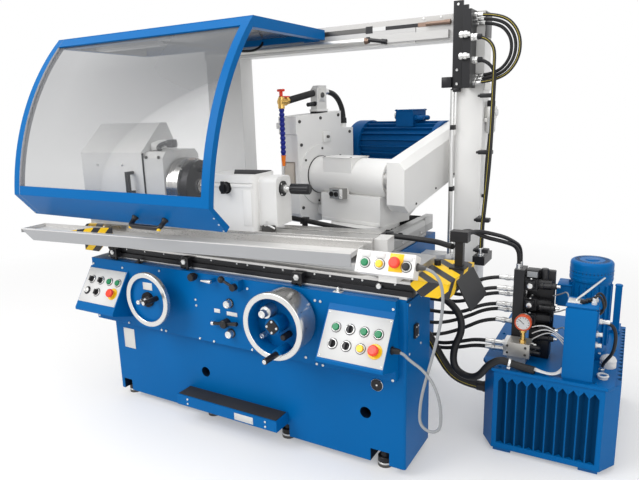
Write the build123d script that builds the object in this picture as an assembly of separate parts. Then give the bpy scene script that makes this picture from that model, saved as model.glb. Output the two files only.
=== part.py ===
from build123d import *
import os
from math import atan2, cos, degrees, hypot, pi, radians, sin, tan

# Universal cylindrical grinder with a sliding hood and a free-standing hydraulic unit.
# Machine frame in mm: x = 0 at the middle of the bed, y = 0 at the bed's front face, z = 0 at the floor.
# Every part is moved by the frame shift at the end, so that the origin is the bottom centre of the box.

# Frame shift
FRAME_X = 168.2
FRAME_Y = 490.3

# General clearances and sections
RUN_FIT = 0.05
SLIDE_FIT = 0.4
GAP = 0.5
SHEET = 3.0

# Bed
BED_LENGTH = 1560.0
BED_DEPTH = 270.0
BED_BOTTOM = 35.0
BED_TOP = 725.0
BED_EDGE = 10.0
FOOT_FROM_LEFT = 40.0
FOOT_FROM_RIGHT = 107.0
REAR_FOOT_FROM_LEFT = 80.0
REAR_FOOT_FROM_RIGHT = 90.0
FOOT_FRONT_X = (FOOT_FROM_LEFT - BED_LENGTH / 2, -212.0, 211.0, BED_LENGTH / 2 - FOOT_FROM_RIGHT)
FOOT_REAR_X = (REAR_FOOT_FROM_LEFT - BED_LENGTH / 2, BED_LENGTH / 2 - REAR_FOOT_FROM_RIGHT)
FOOT_INSET = 55.0
FOOT_RADIUS = 30.0
FOOT_DISC = 20.0
FOOT_STUD = 12.0
POCKET_WIDTH = 80.0
POCKET_HEIGHT = 55.0
POCKET_DEPTH = 95.0
POCKET_LEG = 25.0
LIFT_HOLE_X = (-199.0, 613.0)
LIFT_HOLE_Z = 240.0
LIFT_HOLE_RADIUS = 24.0
LIFT_HOLE_DEPTH = 200.0
FLAT_WAY_Y = 80.0
FLAT_WAY_WIDTH = 44.0
WAY_HEIGHT = 17.0
VEE_Y = 205.0
VEE_HALF = 32.0
SIDE_PLATE_Y = (6.0, 150.0)
SIDE_PLATE_Z = (500.0, 715.0)
SIDE_PLATE_THICK = 6.0

# Foot step
STEP_X = (-303.0, 247.0)
STEP_DEPTH = 90.0
STEP_TOP = 148.0
STEP_THICK = 50.0
STEP_FOOT = 26.0

# Apron and consoles
APRON_PAST_LEFT = 82.0
APRON_SHORT_RIGHT = 28.0
APRON_X = (-BED_LENGTH / 2 - APRON_PAST_LEFT, BED_LENGTH / 2 - APRON_SHORT_RIGHT)
APRON_THICK = 30.0
APRON_BOTTOM = 411.0
APRON_WRAP = 150.0
CONSOLE_LEFT_X = (-872.0, -610.0)
CONSOLE_RIGHT_X = (480.0, 752.0)
CONSOLE_TOP_Z = 684.0
CONSOLE_FRONT_Y = -148.0
CONSOLE_FRONT_Z = 503.0
CONSOLE_LIP = 12.0
CONSOLE_BACK_Z = 455.0

# Push buttons and selectors, positions as (x, height along the sloping panel)
STEM_RADIUS = 5.0
STEM_DEPTH = 14.0
BUTTON_RADIUS = 11.0
BUTTON_LIFT = 5.0
BUTTON_THICK = 7.0
BUTTON_TRAVEL = 4.0
MUSHROOM_RADIUS = 20.0
MUSHROOM_LIFT = 16.0
MUSHROOM_THICK = 13.0
SELECTOR_RADIUS = 13.0
SELECTOR_LIFT = 0.05
SELECTOR_THICK = 9.0
SELECTOR_BAR = 12.0
ROW_HIGH = 19.5
ROW_LOW = -43.3
COLUMN_1 = 534.6
COLUMN_2 = 591.8
COLUMN_3 = 650.0
COLUMN_4 = 707.0
LEFT_STOP_AT = (-656.0, -16.0)
SPEED_KNOB_AT = (-831.0, -18.0)

# Handwheels and levers on the apron, centres as (x, z)
TABLE_WHEEL_AT = (-399.0, 598.0)
TABLE_WHEEL_RADIUS = 125.0
TABLE_WHEEL_FRONT = -132.0
TABLE_GRIP_OFFSET = (52.0, 12.0)
INFEED_WHEEL_AT = (299.0, 599.0)
INFEED_WHEEL_RADIUS = 136.0
INFEED_WHEEL_FRONT = -166.0
INFEED_GRIP_OFFSET = (20.0, -104.0)
RIM_WIDTH = 24.0
RIM_THICK = 24.0
DRUM_DEPTH = 96.0
DRUM_FLOOR = 48.0
WHEEL_SHAFT = 15.0
WHEEL_HUB = 34.0
GRIP_RADIUS = 12.0
GRIP_LENGTH = 80.0
GRIP_PIN = 5.0
START_LEVER_AT = (-28.0, 520.0)
START_LEVER_REACH = 68.0
REVERSE_AT = (52.0, 700.0)
REVERSE_REACH = 62.0

# Wheel bed, columns, beam
WHEEL_BED_X = (110.0, 550.0)
WHEEL_BED_REAR = 1000.0
WHEEL_BED_TOP = 765.0
WHEEL_BED_FOOT_X = (180.0, 480.0)
PORT_Y = (390.0, 660.0)
PORT_Z = (360.0, 690.0)
PORT_THICK = 14.0
COLUMN_RIGHT_X = (715.0, 835.0)
COLUMN_LEFT_X = (-725.0, -490.0)
COLUMN_Y = (770.0, 880.0)
COLUMN_PAD = 40.0
TIE_Z = (560.0, 700.0)
TIE_Y = (785.0, 865.0)
BEAM_X = (-725.0, 836.0)
BEAM_Y = (760.0, 870.0)
BEAM_Z = (1690.0, 1800.0)
RAIL_DEPTH = 18.0
RAIL_Z = (1700.0, 1735.0)
BRACKET_X = (700.0, 742.0)
BRACKET_Z = (1480.0, 1850.0)
HOSE_BOX_X = (765.0, 800.0)
HOSE_BOX_Y = (670.0, 760.0)
HOSE_BOX_Z = (1480.0, 1800.0)
LOOP_Z = 1640.0
LOOP_RADIUS = 138.0
LOOP_STRETCH = 0.4
CLAMP_Z = (700.0, 740.0)
PIPE_AT = (704.0, 748.0)
PIPE_RADIUS = 10.0
PIPE_Z = (720.0, 1480.0)

# Table
TABLE_X = (-770.0, 805.0)
TABLE_Y = (30.0, 252.0)
TABLE_SPLIT = 838.0
PIVOT_X = 0.0
PIVOT_Y = 142.0
TABLE_SWIVEL = 6.31
TABLE_TOP = 910.0
UPPER_X = (-760.0, 585.0)
UPPER_HALF = 88.0
SLOT_Y = (6.0, 20.0)
SLOT_DEPTH = 20.0
CENTRE_HEIGHT = 175.0
AXIS_Z = TABLE_TOP + CENTRE_HEIGHT
PIVOT_PIN = 30.0
PIVOT_PIN_LENGTH = 25.0
DOG_RAIL_Z = (738.0, 791.0)
DOG_X = (-710.0, -256.0, 332.0)
DOG_WIDTH = 46.0
DOG_DEPTH = 26.0
END_BLOCK = (585.0, 640.0)

# Coolant tray on the upper table
TRAY_X = (-1150.0, 551.0)
TRAY_FRONT = -230.0
TRAY_FLOOR = 866.0
TRAY_LIP = 885.0
TRAY_SKIRT = 832.0
TRAY_CUT = 53.0
END_GUARD_X = (-930.0, -875.0)
END_GUARD_Y = (-84.0, 70.0)
END_GUARD_Z = (845.0, 895.0)

# Way guards, flap and post
GUARD_REACH = 137.0
GUARD_Y = (-25.0, 300.0)
GUARD_Z = (758.0, 812.0)
FLAP_Y = (60.0, 280.0)
FLAP_DROP = 105.0
FLAP_REACH = 58.0
POST_X = (900.0, 930.0)
POST_Y = (180.0, 205.0)
POST_TOP = 955.0

# Button box on the table
BOX_X = (619.0, 839.0)
BOX_TOP = (-60.0, 914.0)
BOX_BOTTOM = (-92.0, 840.0)
BOX_DEPTH = 52.0
BOX_STOP_X = 772.0
BOX_STEP = 4.0

# Workhead
HEAD_X = (-457.0, -352.0)
HEAD_Y = (-125.0, 140.0)
HEAD_BASE_X = -808.0
HEAD_BASE_TOP = 955.0
HEAD_TOP = 1245.0
COVER_X = (-810.0, -460.0)
COVER_FRONT = -132.0
COVER_REAR = 130.0
COVER_FOLD = 1243.0
COVER_TOP = 1368.0
COVER_TOP_Y = (15.0, 60.0)
COVER_HANDLE_X = -516.0
COVER_HANDLE_Z = (1062.0, 1162.0)
SPINDLE_RADIUS = 40.0
FLANGE_X = (-345.0, -285.0)
FLANGE_RADIUS = 128.0
PLATE_X = (-285.0, -245.0)
PLATE_RADIUS = 116.0
CENTRE_RADIUS = 16.0
CENTRE_LENGTH = 28.0
DRIVE_PIN_R = 72.0

# Tailstock
TAIL_X = (-140.0, 75.0)
TAIL_Y = (-90.0, 85.0)
TAIL_TOP = 1150.0
TAIL_SEAM = 1113.0
TAIL_ARM_X = 160.0
TAIL_ARM_Y = (-55.0, 80.0)
TAIL_ARM_Z = (930.0, 1136.0)
QUILL_RADIUS = 28.0
QUILL_X = (-165.0, 55.0)
QUILL_TRAVEL = 30.0
QUILL_BORE_END = 95.0
KNOB_SHAFT = 11.0
KNOB_X = (200.0, 290.0)
KNOB_RADIUS = 22.0
TAIL_FLANGE = 8.0
TAIL_FLANGE_RADIUS = 32.0
TAIL_LEVER_X = -59.0
TAIL_LEVER_Z = 1094.0

# Wheelhead
HEAD_PIVOT = (324.0, 624.0)
HEAD_SWIVEL = -12.98
SLIDE_X = (120.0, 540.0)
SLIDE_Y = (400.0, 880.0)
SLIDE_TOP = 823.0
SLIDE_RAIL = 37.0
SLIDE_RAIL_WIDTH = 36.0
SWIVEL_RADIUS = 165.0
BLOCK_BOTTOM = 873.0
BLOCK_X = (-208.0, 152.0)
BLOCK_Y = (-84.0, 150.0)
BLOCK_TOP = 1010.0
BLOCK_REAR_Y = 60.0
BARREL_RADIUS = 92.0
BARREL_X = (-286.0, 170.0)
CAP_X = (-186.0, -10.0)
CAP_Y = (-88.0, 40.0)
CAP_TOP = 1180.0
RING_LENGTH = 20.0
RING_RADIUS = 88.0
SOCKET_X = (-123.0, -40.0)
SOCKET_Y = (-118.0, -70.0)
SOCKET_Z = (990.0, 1040.0)
SHELF_Y = 530.0
SHELF_Z = (1030.0, 1075.0)
WHEEL_RADIUS = 160.0
WHEEL_X = (-384.0, -324.0)
WHEEL_BORE = 76.0
WHEEL_SPINDLE = 30.0
WHEEL_GUARD_X = (-412.0, -292.0)
WHEEL_CLEAR = 8.0
WHEEL_SIDE_CLEAR = 9.0
GUARD_CREST = (173.0, 1399.0)
GUARD_BROW = (-160.0, 1377.0)
GUARD_REAR = (270.0, 1312.0)
GUARD_LOWER_FRONT = -152.0
GUARD_STEP_Z = 1292.0
GUARD_BOTTOM = 848.0
GUARD_DISC = 150.0
MOTOR_Y = 415.0
MOTOR_RISE = 130.0
MOTOR_RADIUS = 106.0
MOTOR_FIN = 16.0
MOTOR_X = (-365.0, 195.0)
MOTOR_FAN = 95.0
MOTOR_FLANGE = 30.0
MOTOR_SHAFT = 19.0
TERMINAL_X = (-66.0, 38.0)
TERMINAL_TOP = 1392.0
BELT_GUARD_X = (195.0, 290.0)
BELT_WALL = 4.0
BELT_LOW = 967.0
BELT_HIGH = 1200.0
BELT_FRONT = -92.0
BELT_REAR = 515.0
BELT_CORNER = (34.0, 45.0)
BELT_CHAMFER = 30.0
PULLEY_RADIUS = 70.0
PULLEY_X = (208.0, 272.0)
BELT_THICK = 7.0
BELT_FIT = 0.2

# Coolant line, in the wheelhead frame
COOLANT_X = -330.0
COOLANT_Y = (12.0, 82.0)
COOLANT_TOP = 1525.0
COOLANT_PIPE_Z = 1490.0
ELBOW_Y = -214.0
ELBOW_Z = 1446.0
STUB_Y = 237.0
STUB_TOP = 1334.0
SEGMENTS = 10
SEGMENT = 22.0
SEGMENT_RADIUS = 12.0
NOZZLE_LENGTH = 52.0

# Hood
HOOD_X = (-1150.0, 60.0)
HOOD_TIP = (-103.0, 938.0)
HOOD_FOLD = (-200.0, 1048.0)
HOOD_CROWN = (150.0, 1785.0)
HOOD_BULGE = 69.0
HOOD_TUBE = 40.0
HOOD_BAND = 28.0
HOOD_BAR = 46.0
HOOD_RAIL = 42.0
HOOD_REAR = 740.0
GLAZING = 4.0
TROLLEY_X = (-560.0, -60.0)
TROLLEY_WIDTH = 80.0
HANDLE_X = (-411.0, -236.0)
HANDLE_DROP = 98.0
HANDLE_REACH = 45.0
HANDLE_RADIUS = 7.0

# Hydraulic unit, in its own frame: origin at the front left corner of its outline
TANK_AT = (974.0, 341.0)
TANK_YAW = 1.2
TANK_WIDTH = 506.0
TANK_DEPTH = 730.0
TANK_CORNER_X = 50.0
TANK_CORNER_Y = 78.0
TANK_BOTTOM = 20.0
TANK_TOP = 361.0
TANK_WALL = 28.0
RIB_PITCH = 37.5
RIB_CUT = 26.0
LID_THICK = 12.0
LID_LIP = 8.0
LID_RIGHT = 485.0
LID_TOP = TANK_TOP + LID_THICK
PUMP_AT = (362.0, 307.0)
PUMP_MOTOR_RADIUS = 74.0
PUMP_MOTOR_TOP = 779.0
PUMP_RADIUS = 45.0
PUMP_LENGTH = 150.0
CABINET_X = (304.0, 404.0)
CABINET_Y = (6.0, 120.0)
CABINET_TOP = 667.0
MANIFOLD_X = (68.0, 170.0)
MANIFOLD_Y = (75.0, 151.0)
MANIFOLD_Z = (400.0, 460.0)
GAUGE_AT = (140.0, 550.0)
GAUGE_RADIUS = 31.0
GAUGE_Y = (76.0, 107.0)
TOWER_X = (83.0, 124.0)
TOWER_Y = (158.0, 239.0)
TOWER_TOP = 745.0
VALVE_Z = (514.0, 577.0, 659.0)
VALVE_HEIGHT = 50.0
BREATHER_AT = (452.0, 200.0)
FILLER_AT = (440.0, 78.0)
LID_POST_AT = (464.0, 598.0)
LID_POST_TOP = 596.0
VALVE_REACH = 92.0
FITTING_RADIUS = 10.0
FITTING_LENGTH = 32.0
PRESSURE_PORTS = 6
RETURN_Y = 100.0
RETURN_Z = 232.0
PORT_PITCH = 35.0
PORT_FIRST = 515.0

# Hose diameters
HOSE = 16.0
HOSE_RETURN = 38.0
HOSE_COLUMN = 14.0
DROP_TURN = 42.0
HOSE_TABLE = 16.0
TABLE_HOSE_TURN = 36.0
HOSE_COOLANT = 21.0
CABLE = 11.0
CABLE_TURN = 40.0

TABLE_FRAME = Pos(PIVOT_X, PIVOT_Y, 0) * Rot(0, 0, TABLE_SWIVEL)
HEAD_FRAME = Pos(HEAD_PIVOT[0], HEAD_PIVOT[1], 0) * Rot(0, 0, HEAD_SWIVEL)
TANK_FRAME = Pos(TANK_AT[0], TANK_AT[1], 0) * Rot(0, 0, TANK_YAW)


def block(x0, x1, y0, y1, z0, z1):
    return Pos((x0 + x1) / 2, (y0 + y1) / 2, (z0 + z1) / 2) * Box(x1 - x0, y1 - y0, z1 - z0)


def rod_x(r, x0, x1, y, z):
    return Pos((x0 + x1) / 2, y, z) * Rot(0, 90, 0) * Cylinder(r, x1 - x0)


def rod_y(r, y0, y1, x, z):
    return Pos(x, (y0 + y1) / 2, z) * Rot(90, 0, 0) * Cylinder(r, y1 - y0)


def rod_z(r, z0, z1, x, y):
    return Pos(x, y, (z0 + z1) / 2) * Cylinder(r, z1 - z0)


def rod_between(a, b, r):
    """Straight round bar from point a to point b."""
    along = Vector(*b) - Vector(*a)
    return Plane(origin=a, z_dir=along).location * Pos(0, 0, along.length / 2) * Cylinder(r, along.length)


def prism_x(points, x0, x1):
    """Prism along x from a closed outline of (y, z) points."""
    face = make_face(Polyline(*points, close=True))
    return extrude(Plane.YZ.offset(x0) * face, x1 - x0)


def prism_y(points, y0, y1):
    """Prism along y from a closed outline of (x, z) points."""
    face = make_face(Polyline(*points, close=True))
    return extrude(Plane.XZ.offset(-y1) * face, y1 - y0)


def prism_z(points, z0, z1):
    face = make_face(Polyline(*points, close=True))
    return extrude(Plane.XY.offset(z0) * face, z1 - z0)


def group(*shapes):
    solids = []
    for shape in shapes:
        solids.extend(shape.solids())
    return Compound(solids)


def panel_plane(x, height):
    """Plane on the sloping console face, z axis outward, y axis up the slope."""
    run = -APRON_THICK - CONSOLE_FRONT_Y
    rise = CONSOLE_TOP_Z - CONSOLE_FRONT_Z
    length = hypot(run, rise)
    up_y = run / length
    up_z = rise / length
    mid_y = (CONSOLE_FRONT_Y - APRON_THICK) / 2
    mid_z = (CONSOLE_FRONT_Z + CONSOLE_TOP_Z) / 2
    origin = (x, mid_y + height * up_y, mid_z + height * up_z)
    return Plane(origin=origin, x_dir=(1, 0, 0), z_dir=(0, -up_z, up_y))


def box_plane(x, height):
    """Plane on the face of the button box on the table."""
    run = BOX_TOP[0] - BOX_BOTTOM[0]
    rise = BOX_TOP[1] - BOX_BOTTOM[1]
    length = hypot(run, rise)
    up_y = run / length
    up_z = rise / length
    mid_y = (BOX_TOP[0] + BOX_BOTTOM[0]) / 2
    mid_z = (BOX_TOP[1] + BOX_BOTTOM[1]) / 2
    origin = (x, mid_y + height * up_y, mid_z + height * up_z)
    return Plane(origin=origin, x_dir=(1, 0, 0), z_dir=(0, -up_z, up_y))


def stem_hole(plane):
    depth = STEM_DEPTH + BUTTON_TRAVEL + 2
    return plane.location * Pos(0, 0, -depth / 2) * Cylinder(STEM_RADIUS + RUN_FIT, depth)


def push_button(plane):
    stem = Pos(0, 0, (BUTTON_LIFT - STEM_DEPTH) / 2) * Cylinder(STEM_RADIUS, BUTTON_LIFT + STEM_DEPTH)
    cap = Pos(0, 0, BUTTON_LIFT + BUTTON_THICK / 2) * Cylinder(BUTTON_RADIUS, BUTTON_THICK)
    return plane.location * (stem + cap)


def mushroom(plane):
    stem = Pos(0, 0, (MUSHROOM_LIFT - STEM_DEPTH) / 2) * Cylinder(STEM_RADIUS, MUSHROOM_LIFT + STEM_DEPTH)
    head = Pos(0, 0, MUSHROOM_LIFT + MUSHROOM_THICK / 2) * Cylinder(MUSHROOM_RADIUS, MUSHROOM_THICK)
    head = fillet(head.edges().sort_by(Axis.Z)[-1], MUSHROOM_THICK * 0.45)
    return plane.location * (stem + head)


def selector(plane):
    lift = SELECTOR_LIFT
    stem = Pos(0, 0, (lift - STEM_DEPTH) / 2) * Cylinder(STEM_RADIUS, STEM_DEPTH + lift)
    base = Pos(0, 0, lift + SELECTOR_THICK / 2) * Cylinder(SELECTOR_RADIUS, SELECTOR_THICK)
    bar_z = lift + SELECTOR_THICK + SELECTOR_BAR / 2
    bar = Pos(0, 0, bar_z) * Box(SELECTOR_BAR * 0.7, SELECTOR_RADIUS * 1.9, SELECTOR_BAR)
    return plane.location * (stem + base + bar)


def bend_radii(points):
    """One radius for each inner point: 0.45 of the shorter run over the tangent of half the turn."""
    radii = []
    for a, b, c in zip(points, points[1:], points[2:]):
        first = Vector(*b) - Vector(*a)
        second = Vector(*c) - Vector(*b)
        turn = radians(first.get_angle(second))
        radii.append(0.45 * min(first.length, second.length) / tan(turn / 2))
    return radii


def hose(name, points, diameter):
    """Round tube along straight runs and tangent arcs; prints its tightest bend and its volume ratio."""
    radii = bend_radii(points)
    path = FilletPolyline(*points, radius=radii)
    start = Plane(origin=path @ 0, z_dir=path % 0)
    tube = sweep(start * Circle(diameter / 2), path=path)
    expected = pi * diameter ** 2 / 4 * path.length
    print(name, "tightest bend", round(min(radii), 1), "diameter", diameter,
          "volume ratio", round(tube.volume / expected, 4))
    return tube


def in_frame(frame, x, y, z):
    place = frame * Pos(x, y, z)
    return (place.position.X, place.position.Y, place.position.Z)


def make_bed():
    half = BED_LENGTH / 2
    body = block(-half, half, 0, BED_DEPTH, BED_BOTTOM, BED_TOP)
    body = fillet(body.edges().filter_by(Axis.Z), BED_EDGE)
    flat = block(-half, half, FLAT_WAY_Y - FLAT_WAY_WIDTH / 2, FLAT_WAY_Y + FLAT_WAY_WIDTH / 2,
                 BED_TOP, BED_TOP + WAY_HEIGHT)
    vee = prism_x([(VEE_Y - VEE_HALF, BED_TOP), (VEE_Y + VEE_HALF, BED_TOP), (VEE_Y, BED_TOP + VEE_HALF)],
                  -half, half)
    plate = block(half - 1, half + SIDE_PLATE_THICK, *SIDE_PLATE_Y, *SIDE_PLATE_Z)
    body = body + flat + vee + plate
    for x in FOOT_FRONT_X:
        top = BED_BOTTOM + POCKET_HEIGHT
        left = max(x - POCKET_WIDTH / 2, POCKET_LEG - half)
        body -= block(left, x + POCKET_WIDTH / 2, -1, POCKET_DEPTH, BED_BOTTOM - 1, top)
    for x in FOOT_REAR_X:
        top = BED_BOTTOM + POCKET_HEIGHT
        body -= block(x - POCKET_WIDTH / 2, x + POCKET_WIDTH / 2, BED_DEPTH - POCKET_DEPTH, BED_DEPTH + 1,
                      BED_BOTTOM - 1, top)
    for x in LIFT_HOLE_X:
        body -= rod_y(LIFT_HOLE_RADIUS, -1, LIFT_HOLE_DEPTH, x, LIFT_HOLE_Z)
    return body


def levelling_foot(x, y, top):
    disc = rod_z(FOOT_RADIUS, 0, FOOT_DISC, x, y)
    stud = rod_z(FOOT_STUD, FOOT_DISC, top, x, y)
    return disc + stud


def make_feet():
    feet = []
    top = BED_BOTTOM + POCKET_HEIGHT
    for x in FOOT_FRONT_X:
        feet.append(levelling_foot(x, FOOT_INSET, top))
    for x in FOOT_REAR_X:
        feet.append(levelling_foot(x, BED_DEPTH - FOOT_INSET, top))
    for x in WHEEL_BED_FOOT_X:
        feet.append(levelling_foot(x, WHEEL_BED_REAR - FOOT_INSET, BED_BOTTOM))
    for x in (90.0, TANK_WIDTH - 90.0):
        for y in (50.0, TANK_DEPTH - 60.0):
            feet.append(TANK_FRAME * block(x - 35, x + 35, y - 35, y + 35, 0, TANK_BOTTOM))
    return group(*feet)


def make_step():
    low = STEP_TOP - STEP_THICK
    top = block(*STEP_X, -STEP_DEPTH, 0, low, STEP_TOP)
    gussets = []
    for x in (STEP_X[0] + 60, STEP_X[1] - 60):
        gussets.append(prism_x([(0, low), (0, BED_BOTTOM + POCKET_HEIGHT / 2), (-STEP_DEPTH * 0.75, low)],
                               x - 6, x + 6))
    return top + gussets


def console(x0, x1):
    outline = [(-APRON_THICK, CONSOLE_TOP_Z), (CONSOLE_FRONT_Y, CONSOLE_FRONT_Z),
               (CONSOLE_FRONT_Y, CONSOLE_FRONT_Z - CONSOLE_LIP), (-APRON_THICK, CONSOLE_BACK_Z)]
    return prism_x(outline, x0, x1)


def right_planes():
    return {
        "panel_green_button_1": panel_plane(COLUMN_1, ROW_HIGH),
        "panel_selector_1": panel_plane(COLUMN_2, ROW_HIGH),
        "panel_green_button_2": panel_plane(COLUMN_3, ROW_HIGH),
        "panel_green_button_3": panel_plane(COLUMN_4, ROW_HIGH),
        "panel_selector_2": panel_plane(COLUMN_1, ROW_LOW),
        "panel_selector_3": panel_plane(COLUMN_2, ROW_LOW),
        "panel_yellow_button": panel_plane(COLUMN_3, ROW_LOW),
        "panel_emergency_stop": panel_plane(COLUMN_4, ROW_LOW),
    }


def left_planes():
    return {
        "left_emergency_stop": panel_plane(*LEFT_STOP_AT),
        "speed_knob": panel_plane(*SPEED_KNOB_AT),
    }


def make_apron():
    body = block(*APRON_X, -APRON_THICK, 0, APRON_BOTTOM, BED_TOP)
    body += block(APRON_X[0], -BED_LENGTH / 2, 0, APRON_WRAP, APRON_BOTTOM, BED_TOP)
    body += console(*CONSOLE_LEFT_X)
    body += console(*CONSOLE_RIGHT_X)
    boss = block(REVERSE_AT[0] - 18, REVERSE_AT[0] + 18, -64, -APRON_THICK, REVERSE_AT[1] - 20, BED_TOP)
    body += boss
    for plane in list(right_planes().values()) + list(left_planes().values()):
        body -= stem_hole(plane)
    for x, z in (TABLE_WHEEL_AT, INFEED_WHEEL_AT):
        body -= rod_y(WHEEL_SHAFT + RUN_FIT, -APRON_THICK - 1, 1, x, z)
    body -= rod_y(8 + RUN_FIT, -APRON_THICK - 1, -6, *START_LEVER_AT)
    body -= rod_y(8 + RUN_FIT, -70, -APRON_THICK, *REVERSE_AT)
    return body


def make_wheel_bed():
    body = block(*WHEEL_BED_X, BED_DEPTH, WHEEL_BED_REAR, BED_BOTTOM, WHEEL_BED_TOP)
    front = block(WHEEL_BED_X[0] - 1, WHEEL_BED_X[1] + 1, BED_DEPTH - 1, BED_DEPTH + 40,
                  BED_TOP - 60, WHEEL_BED_TOP + 1)
    port = block(WHEEL_BED_X[1], WHEEL_BED_X[1] + PORT_THICK, *PORT_Y, *PORT_Z)
    return body - front + port


def make_columns():
    left = block(*COLUMN_LEFT_X, *COLUMN_Y, 0, BEAM_Z[0])
    left += block(COLUMN_LEFT_X[0] - COLUMN_PAD, COLUMN_LEFT_X[1] + COLUMN_PAD, COLUMN_Y[0] - COLUMN_PAD,
                  COLUMN_Y[1] + COLUMN_PAD, 0, 16)
    left += block(COLUMN_LEFT_X[1], WHEEL_BED_X[0], *TIE_Y, *TIE_Z)
    right = block(*COLUMN_RIGHT_X, *COLUMN_Y, TIE_Z[0], BEAM_Z[0])
    right += block(WHEEL_BED_X[1], COLUMN_RIGHT_X[0], *TIE_Y, *TIE_Z)
    bar = block(*BRACKET_X, BEAM_Y[0] - 12, BEAM_Y[0], *BRACKET_Z)
    plate = block(BRACKET_X[1], HOSE_BOX_X[0], BEAM_Y[0] - 12, BEAM_Y[0], 1590, BRACKET_Z[1] - 20)
    hose_box = block(*HOSE_BOX_X, *HOSE_BOX_Y, *HOSE_BOX_Z)
    pipe = rod_z(PIPE_RADIUS, *PIPE_Z, *PIPE_AT)
    right += block(COLUMN_RIGHT_X[1], HOSE_BOX_X[1] + 90, HOSE_BOX_Y[0], COLUMN_Y[0] + 40, *CLAMP_Z)
    right += block(PIPE_AT[0] - 14, COLUMN_RIGHT_X[0] + 4, PIPE_AT[1] - 14, COLUMN_Y[0] + 20, PIPE_Z[0] - 20, PIPE_Z[0])
    return group(left, right, bar + plate + hose_box, pipe)


def make_beam():
    body = block(*BEAM_X, *BEAM_Y, *BEAM_Z)
    rail = block(BEAM_X[0] + 20, BRACKET_X[0] - 20, BEAM_Y[0] - RAIL_DEPTH, BEAM_Y[0], *RAIL_Z)
    return group(body, rail)


def make_lower_table():
    seat = BED_TOP + WAY_HEIGHT
    body = block(*TABLE_X, *TABLE_Y, seat, TABLE_SPLIT)
    body -= block(TABLE_X[0] - 1, TABLE_X[1] + 1, FLAT_WAY_Y + FLAT_WAY_WIDTH / 2 + 6, VEE_Y - VEE_HALF,
                  seat - 1, seat + 12)
    half = VEE_HALF - WAY_HEIGHT + SLIDE_FIT
    peak = BED_TOP + VEE_HALF + SLIDE_FIT
    body -= prism_x([(VEE_Y - half - 1, seat - 1), (VEE_Y + half + 1, seat - 1), (VEE_Y, peak)],
                    TABLE_X[0] - 1, TABLE_X[1] + 1)
    hole = rod_z(PIVOT_PIN + RUN_FIT, TABLE_SPLIT - PIVOT_PIN_LENGTH - 1, TABLE_SPLIT + 1, PIVOT_X, PIVOT_Y)
    return body - hole


def make_dog_rail():
    front = 0.0
    rail = block(*TABLE_X, front, TABLE_Y[0], *DOG_RAIL_Z)
    mid = (DOG_RAIL_Z[0] + DOG_RAIL_Z[1]) / 2
    rail -= block(TABLE_X[0] - 1, TABLE_X[1] + 1, front - 1, front + 8, mid - 6, mid + 6)
    shapes = [rail]
    for x in DOG_X:
        dog = block(x - DOG_WIDTH / 2, x + DOG_WIDTH / 2, front - DOG_DEPTH, front, mid - 24, mid + 18)
        screw = rod_y(7, front - DOG_DEPTH - 8, front - DOG_DEPTH, x, mid)
        shapes.append(dog + screw)
    return group(*shapes)


def way_guard(side, x_end):
    low, high = GUARD_Z
    near = x_end
    far = x_end + side * GUARD_REACH
    x0, x1 = min(near, far), max(near, far)
    top = block(x0, x1, *GUARD_Y, high - SHEET, high)
    skirt = prism_y([(near, high), (far, high), (far, low), (near + side * 40, low), (near, low + 34)],
                    GUARD_Y[0], GUARD_Y[0] + SHEET)
    wall_x = far - side * SHEET
    wall = block(min(wall_x, far), max(wall_x, far), *GUARD_Y, low, high)
    flange_x = near + side * SHEET
    flange = block(min(near, flange_x), max(near, flange_x), TABLE_Y[0] + 4, TABLE_Y[1] - 4, high - 40, high)
    return top + skirt + wall + flange


def make_way_guards():
    right = way_guard(1, TABLE_X[1])
    left = way_guard(-1, TABLE_X[0])
    end = TABLE_X[1] + GUARD_REACH
    top = GUARD_Z[1] - 8
    flap = prism_y([(end, top), (end + FLAP_REACH, top - FLAP_DROP), (end + FLAP_REACH - 4, top - FLAP_DROP - 2),
                    (end, top - 8)], *FLAP_Y)
    post = block(*POST_X, *POST_Y, GUARD_Z[1], POST_TOP)
    head = block(POST_X[0] - 18, POST_X[1] + 18, POST_Y[0] - 6, POST_Y[1] + 10, POST_TOP - 40, POST_TOP)
    foot = block(POST_X[0] - 16, POST_X[1] + 10, POST_Y[0] - 18, POST_Y[1] + 18, GUARD_Z[1], GUARD_Z[1] + 8)
    gland = rod_z(13, GUARD_Z[1], GUARD_Z[1] + 22, TABLE_X[1] + 22, POST_Y[1])
    return group(right + flap + post + head + foot + gland, left)


def make_button_box():
    up = box_plane(0, 0)
    normal_y = up.z_dir.Y
    normal_z = up.z_dir.Z
    back_top = (BOX_TOP[0] - normal_y * BOX_DEPTH, BOX_TOP[1] - normal_z * BOX_DEPTH)
    back_low = (BOX_BOTTOM[0] - normal_y * BOX_DEPTH, BOX_BOTTOM[1] - normal_z * BOX_DEPTH)
    body = prism_x([BOX_TOP, BOX_BOTTOM, back_low, back_top], *BOX_X)
    mid = (BOX_X[0] + BOX_X[1]) / 2
    arm = block(mid - 35, mid + 35, back_low[0] - 6, TABLE_Y[0], DOG_RAIL_Z[1] + 9, TABLE_SPLIT - 4)
    body = body + arm
    body -= stem_hole(box_plane(BOX_STOP_X, BOX_STEP))
    return body


def make_upper_table():
    body = block(*UPPER_X, -UPPER_HALF, UPPER_HALF, TABLE_SPLIT, TABLE_TOP)
    body -= block(UPPER_X[0] - 1, UPPER_X[1] + 1, *SLOT_Y, TABLE_TOP - SLOT_DEPTH, TABLE_TOP + 1)
    body -= block(UPPER_X[0] - 1, UPPER_X[1] + 1, -UPPER_HALF - 1, -UPPER_HALF + 10, TABLE_TOP - 12, TABLE_TOP + 1)
    pin = rod_z(PIVOT_PIN, TABLE_SPLIT - PIVOT_PIN_LENGTH, TABLE_SPLIT, 0, 0)
    return TABLE_FRAME * (body + pin)


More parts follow.
